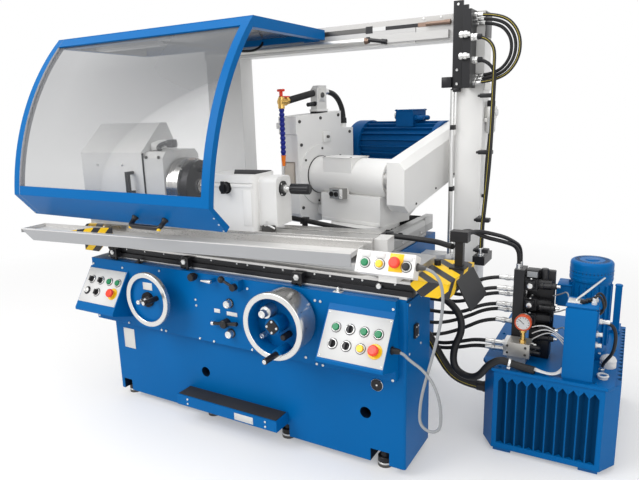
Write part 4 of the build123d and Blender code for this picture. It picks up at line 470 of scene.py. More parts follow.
    # Painted shade: the insides of the lifting holes and of the foot recesses are painted near black for the
    # shade in them.
    hole_shade = Look((0.004, 0.012, 0.03), 0.6, 0.0)
    holes = [both(near_axis(MACHINE, 0, 2, (x, 240), 24.4), zone(MACHINE, y=(1.5, None))) for x in LIFT_HOLES]
    holes += [zone(MACHINE, x=(x - 40.5, x + 40.5), y=(2, 95.5), z=(None, 90.5)) for x in FRONT_FEET]
    coated("bed", blue, [(hole, hole_shade) for hole in holes], gloss=PAINT_GLOSS)
    ring = zone(HEAD, x=(170.2, None), z=(900, None))
    socket = zone(HEAD, y=(None, -85), z=(989, 1041))
    coated("housing", white, [(ring, steel), (socket, Look((0.30, 0.295, 0.285), 0.4, 0.5))])
    coated("slide", Look((0.34, 0.34, 0.335), 0.40, 0.2),
           [(zone(MACHINE, z=(822.4, None)), Look((0.42, 0.42, 0.415), 0.32, 0.6))])
    pipe = zone(HEAD, y=(None, 11.6), z=(1414, None))
    elbow = zone(HEAD, y=(None, -183.6), z=(1414, None))
    segments = zone(HEAD, y=(None, -190), z=(NOZZLE_TOP, 1415.5))
    nozzle = zone(HEAD, y=(None, -190), z=(None, NOZZLE_TOP))
    coated("coolant_arm", Look((0.66, 0.655, 0.64), 0.42, 0.15),
           [(pipe, rubber), (elbow, brass), (segments, Look(c.segment_blue, 0.35, 0.0)), (nozzle, orange)])
    manifold = zone(TANK, y=(None, 151.6), z=(None, 461))
    gauge = zone(TANK, y=(None, 112), z=(500, None))
    gauge_front = zone(TANK, y=(None, 99), z=(500, None))
    stem = zone(TANK, x=(128, 152), y=(None, 112), z=(460.5, 522))
    side_ports = zone(TANK, x=(None, 82.8))
    top_ports = zone(TANK, z=(745.2, None))
    coated("valves", Look((0.018, 0.018, 0.02), 0.34, 0.1),
           [(manifold, Look((0.52, 0.50, 0.46), 0.36, 0.6)), (gauge, Look((0.62, 0.62, 0.62), 0.3, 0.8)),
            (gauge_front, gauge_red), (stem, brass), (side_ports, zinc), (top_ports, zinc)])
    # Painted shade: the insides of the tank's grooves are painted a darker blue for the shade that falls in
    # them.
    groove_shade = Look(shade(c.blue, 0.3), 0.5, 0.0)
    front_grooves = zone(TANK, x=(62, 444), y=(2.5, 19), z=(44.2, 336.8))
    side_grooves = zone(TANK, x=(487, 503.5), y=(104, 704), z=(44.2, 360.6))
    coated("tank", blue, [(front_grooves, groove_shade), (side_grooves, groove_shade)], gloss=PAINT_GLOSS)
    caps = zone(TANK, x=(415, None), y=(None, 300), z=(LID_TOP + 0.4, 402))
    coated("lid", blue, [(caps, Look((0.70, 0.69, 0.67), 0.36, 0.2))], gloss=PAINT_GLOSS)
    coated("knob", plastic, [(zone(TABLE, x=(None, 199.6)), zinc)], texture=0.3, grain=1400.0)
    collar = zone(TABLE, x=(160.2, 190), z=(1000, None))
    coated("tailstock", white, [(collar, black)])


FINISH_NODES = {
    "bed": "bed", "feet": "levelling_feet", "wheel_bed": "wheel_bed", "columns": "columns",
    "beam": "overhead_beam", "tank": "hydraulic_tank", "lid": "tank_lid", "valves": "valve_block",
    "lower_table": "lower_table", "rail_black": "dog_rail", "hazard": "way_guards", "tray": "coolant_tray",
    "ground_steel": "upper_table", "cover": "workhead_cover", "spindle": "work_spindle", "knob": "quill_knob",
    "tailstock": "tailstock", "slide": "wheel_slide", "housing": "wheelhead_housing", "hood": "hood_frame",
    "motor_paint": "wheel_motor", "wheel_grit": "grinding_wheel", "coolant_arm": "coolant_arm",
    "hood_glazing": "hood_glazing", "table_wheel": "table_handwheel", "infeed_wheel": "infeed_handwheel",
    "blue_paint": "foot_step front_apron pump_motor electrical_box",
    "white_paint": "button_box workhead wheel_guard belt_guard",
    "turned_steel": "tailstock_quill wheel_spindle motor_pulley",
    "rubber": "drive_belts hydraulic_hoses table_hoses column_hoses coolant_hose",
    "cable": "box_cable", "zinc": "speed_knob", "yellow_plastic": "panel_yellow_button",
    "green_plastic": "panel_green_button_1 panel_green_button_2 panel_green_button_3",
    "red_plastic": "coolant_valve panel_emergency_stop left_emergency_stop box_emergency_stop",
    "black_plastic": "tailstock_lever table_grip infeed_grip start_lever reversing_lever "
                     "panel_selector_1 panel_selector_2 panel_selector_3",
}


# Forms

SHARP_FROM = math.radians(38)


class Form:
    """A piece under construction: solids in millimetres of a machine frame, each with its finish."""

    def __init__(self, name, place):
        self.name = name
        self.place = place
        self.mesh = bmesh.new()
        self.finishes = []

    def add(self, part, finish, place=None):
        """Take in a solid, from another frame where one is named."""
        if finish not in self.finishes:
            self.finishes.append(finish)
        for face in part.faces:
            face.material_index = self.finishes.index(finish)
            face.smooth = True
        part.transform(place or self.place)
        scratch = bpy.data.meshes.new("scratch")
        part.to_mesh(scratch)
        part.free()
        self.mesh.from_mesh(scratch)
        bpy.data.meshes.remove(scratch)

    def box(self, low, high, finish, bevel=1.0, place=None):
        """Block between two corners."""
        part = bmesh.new()
        bmesh.ops.create_cube(part, size=1)
        size = Vector(high) - Vector(low)
        bmesh.ops.scale(part, vec=size, verts=part.verts)
        bmesh.ops.translate(part, vec=(Vector(low) + Vector(high)) / 2, verts=part.verts)
        if bevel:
            bmesh.ops.bevel(part, geom=part.edges[:], offset=min(bevel, min(size) * 0.45), segments=2,
                            profile=0.5, affect="EDGES")
        self.add(part, finish, place)

    def turned(self, start, along, profile, finish, sides=32, place=None):
        """Solid of revolution with closed ends: profile holds (distance, radius) pairs along the axis."""
        part = bmesh.new()
        rings = []
        for distance, radius in profile:
            if radius <= 0:
                rings.append([part.verts.new((0, 0, distance))])
                continue
            step = math.tau / sides
            rings.append([part.verts.new((radius * math.cos(step * k), radius * math.sin(step * k), distance))
                          for k in range(sides)])
        for low, high in zip(rings, rings[1:]):
            for k in range(sides):
                turns = ((low, k), (low, k + 1), (high, k + 1), (high, k))
                corners = list(dict.fromkeys(ring[at % len(ring)] for ring, at in turns))
                if len(corners) > 2:
                    part.faces.new(corners)
        for ring in (rings[0], rings[-1]):
            if len(ring) > 2:
                part.faces.new(ring)
        bmesh.ops.recalc_face_normals(part, faces=part.faces)
        turn = Vector(along).to_track_quat("Z", "Y").to_matrix().to_4x4()
        part.transform(Matrix.Translation(start) @ turn)
        self.add(part, finish, place)

    def prism(self, outline, axis, low, high, finish, bevel=0.0, place=None):
        """Prism along an axis (0, 1 or 2) from an outline in the other two."""
        part = bmesh.new()
        others = [k for k in range(3) if k != axis]
        ends = []
        for level in (low, high):
            ring = []
            for a, b in outline:
                point = [0.0, 0.0, 0.0]
                point[axis] = level
                point[others[0]] = a
                point[others[1]] = b
                ring.append(part.verts.new(point))
            ends.append(ring)
        part.faces.new(ends[0])
        part.faces.new(ends[1])
        count = len(outline)
        for k in range(count):
            part.faces.new((ends[0][k], ends[0][(k + 1) % count], ends[1][(k + 1) % count], ends[1][k]))
        bmesh.ops.recalc_face_normals(part, faces=part.faces)
        if bevel:
            bmesh.ops.bevel(part, geom=part.edges[:], offset=bevel, segments=2, profile=0.5, affect="EDGES")
        self.add(part, finish, place)

    def tube(self, points, radius, finish, place=None):
        """Round bar or wire on a smooth line through its control points."""
        line = smooth_line("scratch_line", points)
        line.bevel_depth = radius
        line.bevel_resolution = 3
        line.use_fill_caps = True
        holder = bpy.data.objects.new("scratch_line", line)
        scratch = bpy.data.meshes.new_from_object(holder)
        part = bmesh.new()
        part.from_mesh(scratch)
        bpy.data.meshes.remove(scratch)
        bpy.data.objects.remove(holder)
        bpy.data.curves.remove(line)
        self.add(part, finish, place)

    def screw(self, at, out, radius=6.0, height=5.0, finish="zinc", place=None):
        """Socket-head screw: head with a rounded rim and a recess."""
        sunk = height * 0.4
        self.turned(at, out, [(-1, radius), (height * 0.75, radius), (height, radius * 0.8),
                              (height, radius * 0.5), (sunk, radius * 0.45), (sunk, 0)], finish, 16, place)

    def screws(self, xs, ys, zs, out, radius=6.0, height=5.0, finish="zinc", place=None):
        """Screws in rows, one at every meeting of these coordinates."""
        for at in product(xs, ys, zs):
            self.screw(at, out, radius, height, finish, place)

    def done(self, body):
        """Make the piece's object, with its finishes, on its body."""
        mesh = bpy.data.meshes.new(self.name)
        self.mesh.to_mesh(mesh)
        self.mesh.free()
        mesh.set_sharp_from_angle(angle=SHARP_FROM)
        for finish in self.finishes:
            mesh.materials.append(FINISHES[finish])
        piece = bpy.data.objects.new(self.name, mesh)
        bpy.context.scene.collection.objects.link(piece)
        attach(piece, body)
        return piece


def smooth_line(name, points):
    """NURBS line with these control points."""
    line = bpy.data.curves.new(name, "CURVE")
    line.dimensions = "3D"
    line.resolution_u = 10
    spline = line.splines.new("NURBS")
    spline.points.add(len(points) - 1)
    for point, at in zip(spline.points, points):
        point.co = (*at, 1.0)
    spline.order_u = 3
    spline.use_endpoint_u = True
    return line


def around(count, radius, start=0.0):
    """Offsets of points spaced evenly on a circle."""
    angles = [math.tau * k / count + start for k in range(count)]
    return [(radius * math.cos(a), radius * math.sin(a)) for a in angles]


def spun(place, at, angle, axis):
    """Frame at a point of another frame, turned about one of its axes."""
    return place @ Matrix.Translation(at) @ Matrix.Rotation(angle, 4, axis)


# Hoses: diameters, numbers and ends, in millimetres

HOSE = 16.0
HOSE_RETURN = 38.0
HOSE_COLUMN = 14.0
HOSE_TABLE = 16.0
HOSE_COOLANT = 28.0
HOSE_SLEEVE = 30.0
HOSE_CABINET = 13.0
CABLE = 11.0
MARK_RADIUS = 0.9
COLUMN_LOOPS = 3
COLUMN_DROPS = 2
MANIFOLD_HOSES = 2
TABLE_HOSES = 2
TOWER_PORTS = 6
TOWER_X = (83.0, 124.0)
TOWER_Y = (158.0, 239.0)
TOWER_TOP = 745.0
TOWER_ROW = 21.0
TOWER_PORT_Z = 515.0
TOWER_PITCH = 35.0
FITTING_LENGTH = 32.0
POST_END = (915.0, 215.0, 937.0)
HOSE_BOX = (800.0, 670.0)
LOOP_Z = 1640.0
LOOP_RADIUS = 138.0
LOOP_STRETCH = 0.4
DROP_TURN = 42.0
DROP_END = 740.0
TABLE_HOSE_TURN = 38.0
CABLE_TURN = 40.0
BOX_END = (839.0, -52.0, 869.0)
CONSOLE_END = (752.0, 555.0)
COOLANT_X = -330.0
COOLANT_BACK = 82.0
COOLANT_TOP = 1525.0
STUB_Y = 237.0
STUB_TOP = 1334.0


def unit_point(x, y, z):
    """Point of the hydraulic unit's frame in the machine frame."""
    return tuple(MACHINE.inverted() @ TANK @ Vector((x, y, z)))


def tower_port(i):
    """Depth and height of a pressure hose's port on the valve tower."""
    side = -1 if i % 2 == 0 else 1
    return sum(TOWER_Y) / 2 + side * TOWER_ROW, TOWER_PORT_Z + TOWER_PITCH * i


def pressure_route(i):
    start = unit_point(TOWER_X[0] - FITTING_LENGTH, *tower_port(i))
    away = unit_point(TOWER_X[0] - FITTING_LENGTH - 70, *tower_port(i))
    end_y = 460.0 + 30 * i
    end_z = 420.0 + 45 * i
    span = away[0] - PORT_X - 70
    drop = away[2] - end_z
    return [start, away, (away[0] - span * 0.36, away[1] - 16, away[2] - 40 - drop * 0.3),
            (away[0] - span * 0.68, end_y + 12, end_z - 8), (PORT_X + 70, end_y, end_z),
            (PORT_X, end_y, end_z)]


def return_route():
    end = unit_point(0, 100, 232)
    near = unit_point(-72, 100, 232)
    y, z = 430.0, 474.0
    return [(PORT_X, y, z), (PORT_X + 80, y, z), (PORT_X + 152, y, z - 40), (PORT_X + 204, y + 2, z - 135),
            (near[0] - 76, near[1] - 6, near[2] + 30), near, end]


def table_route(i):
    shift = -TOWER_ROW if i == 0 else TOWER_ROW
    start = unit_point(TOWER_X[0] + 14, sum(TOWER_Y) / 2 + shift, TOWER_TOP + 22)
    end_x = POST_END[0] + shift * 0.8
    end_y, end_z = POST_END[1:]
    reach = math.hypot(end_x - start[0], end_y - start[1])
    turn = TABLE_HOSE_TURN

    def along(distance, rise):
        k = distance / reach
        return (start[0] + (end_x - start[0]) * k, start[1] + (end_y - start[1]) * k, start[2] + rise)

    return [start, along(0, turn), along(turn * 0.5, turn * 1.866), along(turn * 1.366, turn * 2.366),
            along(turn * 3.2, turn * 3.1 + shift * 0.2), along(reach * 0.58, turn * 3.8 + shift * 0.3),
            (end_x + 22, end_y + 112, end_z - 7), (end_x, end_y + 56, end_z), (end_x, end_y, end_z)]


def loop_route(i):
    radius = LOOP_RADIUS - 15 * i
    x = HOSE_BOX[0]
    y = HOSE_BOX[1] + 46 + 18 * i
    centre = x + LOOP_STRETCH * radius
    points = [(x, y, LOOP_Z + radius)]
    reach = radius / math.cos(math.radians(22.5))
    for k in range(4):
        a = math.radians(67.5 - 45 * k)
        points.append((centre + reach * math.cos(a), y, LOOP_Z + reach * math.sin(a)))
    points.append((x, y, LOOP_Z - radius))
    return points


def drop_route(i):
    x = HOSE_BOX[0]
    y = HOSE_BOX[1] + 12 + 16 * i
    top = LOOP_Z + 46 - 92 * i
    turn = DROP_TURN
    line = x + turn * 2.366
    fall = top - turn * 1.366 - DROP_END
    end = line - 31
    return [(x, y, top), (x + turn, y, top), (x + turn * 1.866, y, top - turn * 0.5),
            (line, y, top - turn * 1.366), (line - 1, y, DROP_END + fall * 0.91),
            (line - 3, y - 1, DROP_END + fall * 0.745),
            (line - 7, y, DROP_END + fall * 0.525), (line - 20, y, DROP_END + fall * 0.305),
            (end, y, DROP_END + fall * 0.125), (end, y, DROP_END)]


def cable_route():
    x, y, z = BOX_END
    end_x, end_z = CONSOLE_END
    turn_x = x + 58
    turn_z = z - 560
    near = CABLE_TURN * math.tan(math.radians(22.5))
    return [(x, y, z), (x + 46, y, z), (x + 84, y - 4, z - 34), (x + 97, y - 6, z - 94),
            (x + 90, y - 8, z - 188), (x + 66, y - 8, z - 300), (x + 40, y - 8, z - 404),
            (x + 26, y - 8, z - 464), (x + 19, y - 8, z - 520),
            (turn_x - CABLE_TURN, y - 9, turn_z - near), (turn_x - near, y - 11, turn_z - CABLE_TURN),
            (turn_x + near, y - 13, turn_z - CABLE_TURN), (turn_x + CABLE_TURN, y - 15, turn_z - near),
            (x + 100, y - 16, z - 520), (x + 92, y - 17, z - 464), (x + 72, y - 18, z - 412),
            (x + 34, y - 18, z - 366), (x - 20, y - 18, end_z - 24), (end_x + 40, y - 18, end_z),
            (end_x, y - 18, end_z)]


def coolant_route():
    x, y, z = COOLANT_X, COOLANT_BACK, COOLANT_TOP - 30
    local = [(x, y, z), (x, y + 52, z), (x, y + 104, z - 24), (x, y + 140, z - 70), (x, STUB_Y, z - 122),
             (x, STUB_Y, STUB_TOP)]
    return [tuple(MACHINE.inverted() @ HEAD @ Vector(p)) for p in local]


def sleeve_route():
    return [(PORT_X, 418, 640), (650, 418, 640), (780, 410, 622), (862, 396, 566), (880, 386, 490),
            (846, 380, 410), (848, 372, 328), (903, 356, 302), (962, 342, 316), (1000, 338, 380),
            (1045, 340, 412), (1083, 352, 400), (1130, 356, 389), (1178, 350, 389)]


def manifold_route(i):
    z = 412.0 + 26 * i
    y = 475.0 + 32 * i
    end_z = 378.0 + 6 * i
    return [unit_point(26, 113, z), unit_point(-44, 113, z), (850, 462, z - 30), (760, 472, 356 + 22 * i),
            (690, y - 1, end_z - 10), (PORT_X + 64, y, end_z), (PORT_X, y, end_z)]


def cabinet_route():
    local = [(412, 75, 600), (455, 75, 600), (474, 78, 556), (470, 90, 480), (446, 118, 430), (432, 140, 400),
             (432, 140, LID_TOP)]
    return [unit_point(*p) for p in local]


def packed(points):
    """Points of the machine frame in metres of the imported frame."""
    return [tuple(MACHINE @ Vector(p)) for p in points]


def run_hose(name, route, diameter, body, node, finish="rubber", joins=None):
    """A hose on its route, on its body. With joins, the hose is made a mesh that stays where it is laid, on
    no body.
    """
    points = packed(route)
    line = smooth_line(name, points)
    radius = diameter / 2 * MM
    if joins:
        bare = bpy.data.objects.new("scratch_route", line)
        flat = bpy.data.meshes.new_from_object(bare)
        line.bevel_depth = radius
        line.bevel_resolution = 4
        data = bpy.data.meshes.new_from_object(bare)
        data.name = name
        bpy.data.objects.remove(bare)
        bpy.data.meshes.remove(flat)
        bpy.data.curves.remove(line)
        for face in data.polygons:
            face.use_smooth = True
    else:
        line.bevel_depth = radius
        line.bevel_resolution = 4
        data = line
    data.materials.clear()
    data.materials.append(FINISHES[finish])
    piece = bpy.data.objects.new(name, data)
    bpy.context.scene.collection.objects.link(piece)
    if joins:
        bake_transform(piece)
    else:
        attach(piece, body)
    if node:
        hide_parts(node)
    diameter * MM
    return piece


def crimp(form, route, diameter, finish="zinc"):
    """Pressed sleeve and hexagon nut at both ends of a hose."""
    for first, second in ((route[0], route[1]), (route[-1], route[-2])):
        along = Vector(second) - Vector(first)
        r = diameter / 2
        form.turned(first, along, [(0, r + 4.5), (11, r + 4.5), (11, r + 1.5), (14, r + 2.2), (36, r + 2.2),
                                   (38, r + 0.6)], finish, 24)


class GrinderOperator(bpy.types.Operator):
    """Base of the operators that make the grinder's pieces"""
    bl_options = {"REGISTER", "UNDO"}


class GRINDER_OT_finishes(GrinderOperator):
    """Make the finishes and put them on the machine's parts"""
    bl_idname = "grinder.finishes"
    bl_label = "Finishes"

    def execute(self, context):
        make_finishes()
        for finish, nodes in FINISH_NODES.items():
            for node in nodes.split():
                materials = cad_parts[node].data.materials
                materials.clear()
                materials.append(FINISHES[finish])
        return {"FINISHED"}


class GRINDER_OT_hoses(GrinderOperator):
    """Lay the hoses and the cable of the button box"""
    bl_idname = "grinder.hoses"
    bl_label = "Hoses"

    def execute(self, context):
        fittings = Form("hose_fittings", MACHINE)
        fixed = [(f"pressure_hose_{i + 1}", pressure_route(i), HOSE, "hydraulic_hoses", "medium")
                 for i in range(TOWER_PORTS)]
        fixed.append(("return_hose", return_route(), HOSE_RETURN, "hydraulic_hoses", "stiff"))
        fixed += [(f"column_loop_{i + 1}", loop_route(i), HOSE_COLUMN, "column_hoses", "medium")
                  for i in range(COLUMN_LOOPS)]
        fixed += [(f"column_drop_{i + 1}", drop_route(i), HOSE_COLUMN, "column_hoses", "medium")
                  for i in range(COLUMN_DROPS)]
        fixed += [(f"manifold_hose_{i + 1}", manifold_route(i), HOSE, None, "medium")
                  for i in range(MANIFOLD_HOSES)]
        fixed.append(("cabinet_hose", cabinet_route(), HOSE_CABINET, None, "limp"))
        for name, route, diameter, node, stiffness in fixed:
            run_hose(name, route, diameter, "bed", node)
            crimp(fittings, route, diameter, "black_paint" if diameter == HOSE_RETURN else "zinc")
        for route, diameter in ((return_route(), HOSE_RETURN), (loop_route(0), HOSE_COLUMN),
                                (drop_route(0), HOSE_COLUMN)):
            line = [(x, y - diameter / 2 - 0.1, z) for x, y, z in route]
            fittings.tube(line, MARK_RADIUS, "hose_mark")
        run_hose("wire_sleeve", sleeve_route(), HOSE_SLEEVE, "bed", None)
        fittings.turned((1075, 350, 402), (0.96, 0.2, -0.2),
                        [(0, 16.5), (0, 17.5), (9, 17.5), (9, 16.5)], "zinc", 28)
        fittings.box((1072, 343, LID_TOP + 0.1), (1086, 349, 388), "zinc", 1)
        fittings.turned(sleeve_route()[0], PLUS_X,
                        [(0, 21), (10, 21), (12, 18), (34, 17.5), (36, 15.6)], "black_plastic", 28)
        fittings.done("bed")
        for i in range(TABLE_HOSES):
            run_hose(f"table_hose_{i + 1}", table_route(i), HOSE_TABLE, None, "table_hoses",
                     joins=("bed", "table"))
        run_hose("button_box_cable", cable_route(), CABLE, None, "box_cable", finish="cable",
                 joins=("table", "bed"))
        run_hose("coolant_supply", coolant_route(), HOSE_COOLANT, "wheelhead", "coolant_hose")
        return {"FINISHED"}


class GRINDER_OT_stage(GrinderOperator):
    """Set the floor, the studio light and the camera"""
    bl_idname = "grinder.stage"
    bl_label = "Stage"

    camera_at = (1507.0, -1866.0, 1400.0)
    yaw = 30.08
    pitch = 12.6
    roll = -1.6
    floor_half = 60.0
    fade = (1900, 4500)
    least_glow = 0.3
    fill_strength = 0.66
    lamps = (("key", (-1900, -2900, 3600), 2.6, 205), ("fill", (3300, -2600, 2600), 2.8, 75),
             ("top", (200, 500, 4200), 3.6, 120))
    lamps_aim = (150, 250, 800)

    def execute(self, context):
        self.set_camera(context)
        self.set_floor(context)
        self.set_lights(context)
        context.scene.view_settings.view_transform = "Standard"
        return {"FINISHED"}

    def set_camera(self, context):
        data = bpy.data.cameras.new("camera")
        data.sensor_fit = "HORIZONTAL"
        data.sensor_width = 36.0
        data.lens = sizes().lens
        data.clip_end = 100.0
        camera = bpy.data.objects.new("camera", data)
        turn = Matrix.Identity(4)
        for degrees, axis in ((self.yaw, "Z"), (90 - self.pitch, "X"), (self.roll, "Z")):
            turn = turn @ Matrix.Rotation(math.radians(degrees), 4, axis)
        camera.matrix_world = Matrix.Translation(MACHINE @ Vector(self.camera_at)) @ turn
        context.scene.collection.objects.link(camera)
        context.scene.camera = camera

    def set_floor(self, context):
        """Floor that takes shadows and grows white away from the machine."""
        f = Finish("studio_floor")
        x, y, z = f.axes(MACHINE)
        away = f.ramp((x * x + y * y) ** 0.5, *self.fade)
        share = away * (1 - self.least_glow) + self.least_glow
        base = f.node("ShaderNodeBsdfPrincipled", {}, {"Base Color": (*colours().floor, 1), "Roughness": 0.55,
                                                      "Specular IOR Level": 0.2})
        glow = f.node("ShaderNodeEmission", {}, {"Color": (1, 1, 1, 1), "Strength": 1.0})
        material = f.surface(f.node("ShaderNodeMixShader", {}, {0: share * f.seen(), 1: base, 2: glow}))
        mesh = bpy.data.meshes.new("studio_floor")
        half = self.floor_half
        corners = [(-half, -half, 0), (half, -half, 0), (half, half, 0), (-half, half, 0)]
        mesh.from_pydata(corners, [], [(0, 1, 2, 3)])
        mesh.materials.append(material)
        floor = bpy.data.objects.new("studio_floor", mesh)
        context.scene.collection.objects.link(floor)

    def set_lights(self, context):
        f = Finish("studio", world=True)
        white = (1.0, 1.0, 1.0, 1.0)
        fill = f.node("ShaderNodeBackground", {}, {"Color": white, "Strength": self.fill_strength})
        back = f.node("ShaderNodeBackground", {}, {"Color": white, "Strength": 1.0})
        context.scene.world = f.surface(f.node("ShaderNodeMixShader", {}, {0: f.seen(), 1: fill, 2: back}))
        for name, at, size, power in self.lamps:
            data = bpy.data.lights.new(name, "AREA")
            data.size = size
            data.energy = power * sizes().light
            lamp = bpy.data.objects.new(name, data)
            lamp.location = MACHINE @ Vector(at)
            aim = MACHINE @ Vector(self.lamps_aim) - lamp.location
            lamp.rotation_euler = aim.to_track_quat("-Z", "Y").to_euler()
            context.scene.collection.objects.link(lamp)


def bezel(form, x, height, inner=13.9, outer=18.0, rise=6.0, finish="zinc"):
    """Ring round a push button, on a dark washer."""
    form.turned((x, height, 0), PLUS_Z, [(0.2, outer + 2), (1.6, outer + 2), (2.2, outer + 1.2), (2.2, 0)],
                "black_plastic", 32)
    form.turned((x, height, 0), PLUS_Z,
                [(0.4, inner), (0.4, outer), (rise * 0.6, outer), (rise, outer - 1.6), (rise, inner + 0.8),
                 (rise - 2, inner), (0.4, inner)], finish, 28)


def wide_bezel(form, x, height):
    """Ring round a selector."""
    bezel(form, x, height, 14.5, 19.0)


def push_cap(form, x, height, finish):
    """Button that doesn't move, in its bezel."""
    bezel(form, x, height)
    form.turned((x, height, 0), PLUS_Z, [(0, 13.5), (10.5, 13.5), (12.5, 11.7), (13, 0)], finish, 28)


def knob_cap(form, x, height):
    """Selector head that doesn't move, with a grip bar, in its bezel."""
    wide_bezel(form, x, height)
    form.turned((x, height, 0), PLUS_Z, [(0, 13), (8, 13), (9, 12)], "black_plastic", 28)
    form.box((x - 4, height - 12, 8), (x + 4, height + 12, 21), "black_plastic", 1.5)


def stop_ring(form, x, height):
    """Yellow ring under an emergency stop."""
    form.turned((x, height, 0), PLUS_Z,
                [(0.5, 9), (0.5, 28), (3.0, 28), (4.0, 27), (4.0, 13), (10, 12), (10, 7)],
                "yellow_plastic", 36)


class GRINDER_OT_panels(GrinderOperator):
    """Make the plates, bezels and fixed controls of the consoles and of the button box"""
    bl_idname = "grinder.panels"
    bl_label = "Control panels"

    columns = (534.6, 591.8, 650.0, 707.0)
    rows = (19.5, -43.3)
    screw_inset = 8

    def execute(self, context):
        self.right_console()
        self.left_console()
        self.button_box()
        return {"FINISHED"}

    def right_console(self):
        high, low = self.rows
        c1, c2, c3, c4 = self.columns
        right = Form("right_panel", CONSOLE)
        self.plate(right, (485, -101), (750, 82))
        for x, height in ((c1, high), (c3, high), (c4, high), (c3, low)):
            bezel(right, x, height)
        for x, height in ((c2, high), (c1, low), (c2, low)):
            wide_bezel(right, x, height)
        stop_ring(right, c4, low)
        right.done("bed")
        caps = (("panel_green_button_1", c1, high, "green_plastic"),
                ("panel_green_button_2", c3, high, "green_plastic"),
                ("panel_green_button_3", c4, high, "green_plastic"),
                ("panel_yellow_button", c3, low, "yellow_plastic"))
        for button, x, height, finish in caps:
            cap = Form(f"{button}_cap", CONSOLE)
            cap.turned((x, height, 0), PLUS_Z, [(6.5, 13), (7, 13.5), (11.5, 13.5), (13, 12), (13.4, 0)],
                       finish, 32)
            cap.done(button)

    def left_console(self):
        left = Form("left_panel", CONSOLE)
        self.plate(left, (-870, -75), (-616, 98))
        for x in (-825, -763):
            knob_cap(left, x, 40)
        for x in (-703, -646):
            push_cap(left, x, 40, "green_plastic")
        knob_cap(left, -763, -20)
        bezel(left, -831, -18, 13.5, 17.5, 5.0, "black_plastic")
        stop_ring(left, -656, -16)
        left.done("bed")

    def button_box(self):
        box = Form("button_box_face", BOX_FACE)
        box.screws((628, 830), (-31, 31), [0], PLUS_Z, 4.5, 3.0)
        for x, finish in ((655, "green_plastic"), (711, "yellow_plastic"), (810, "black_plastic")):
            push_cap(box, x, -4, finish)
        box.box((746, -26, 0.1), (797, 38, 1.4), "yellow_plastic", 0.5)
        for x in (655, 711, 812):
            box.box((x - 17, 16, 0.1), (x + 17, 35, 1.2), "white_plate", 0.4)
        box.turned((BOX_END[0] - 3, *BOX_END[1:]), PLUS_X, [(0, 14), (8, 14), (8, 11), (26, 10), (36, 6.5)],
                   "dark_steel", 20, MACHINE)
        box.done("table")

    def plate(self, form, low, high):
        """Face plate of a console, with a screw in each corner."""
        form.box((*low, 0.05), (*high, 0.8), "white_plate", 0.3)
        xs, heights = ((a + self.screw_inset, b - self.screw_inset) for a, b in zip(low, high))
        form.screws(xs, heights, [0.8], PLUS_Z, 3.2, 2.0)


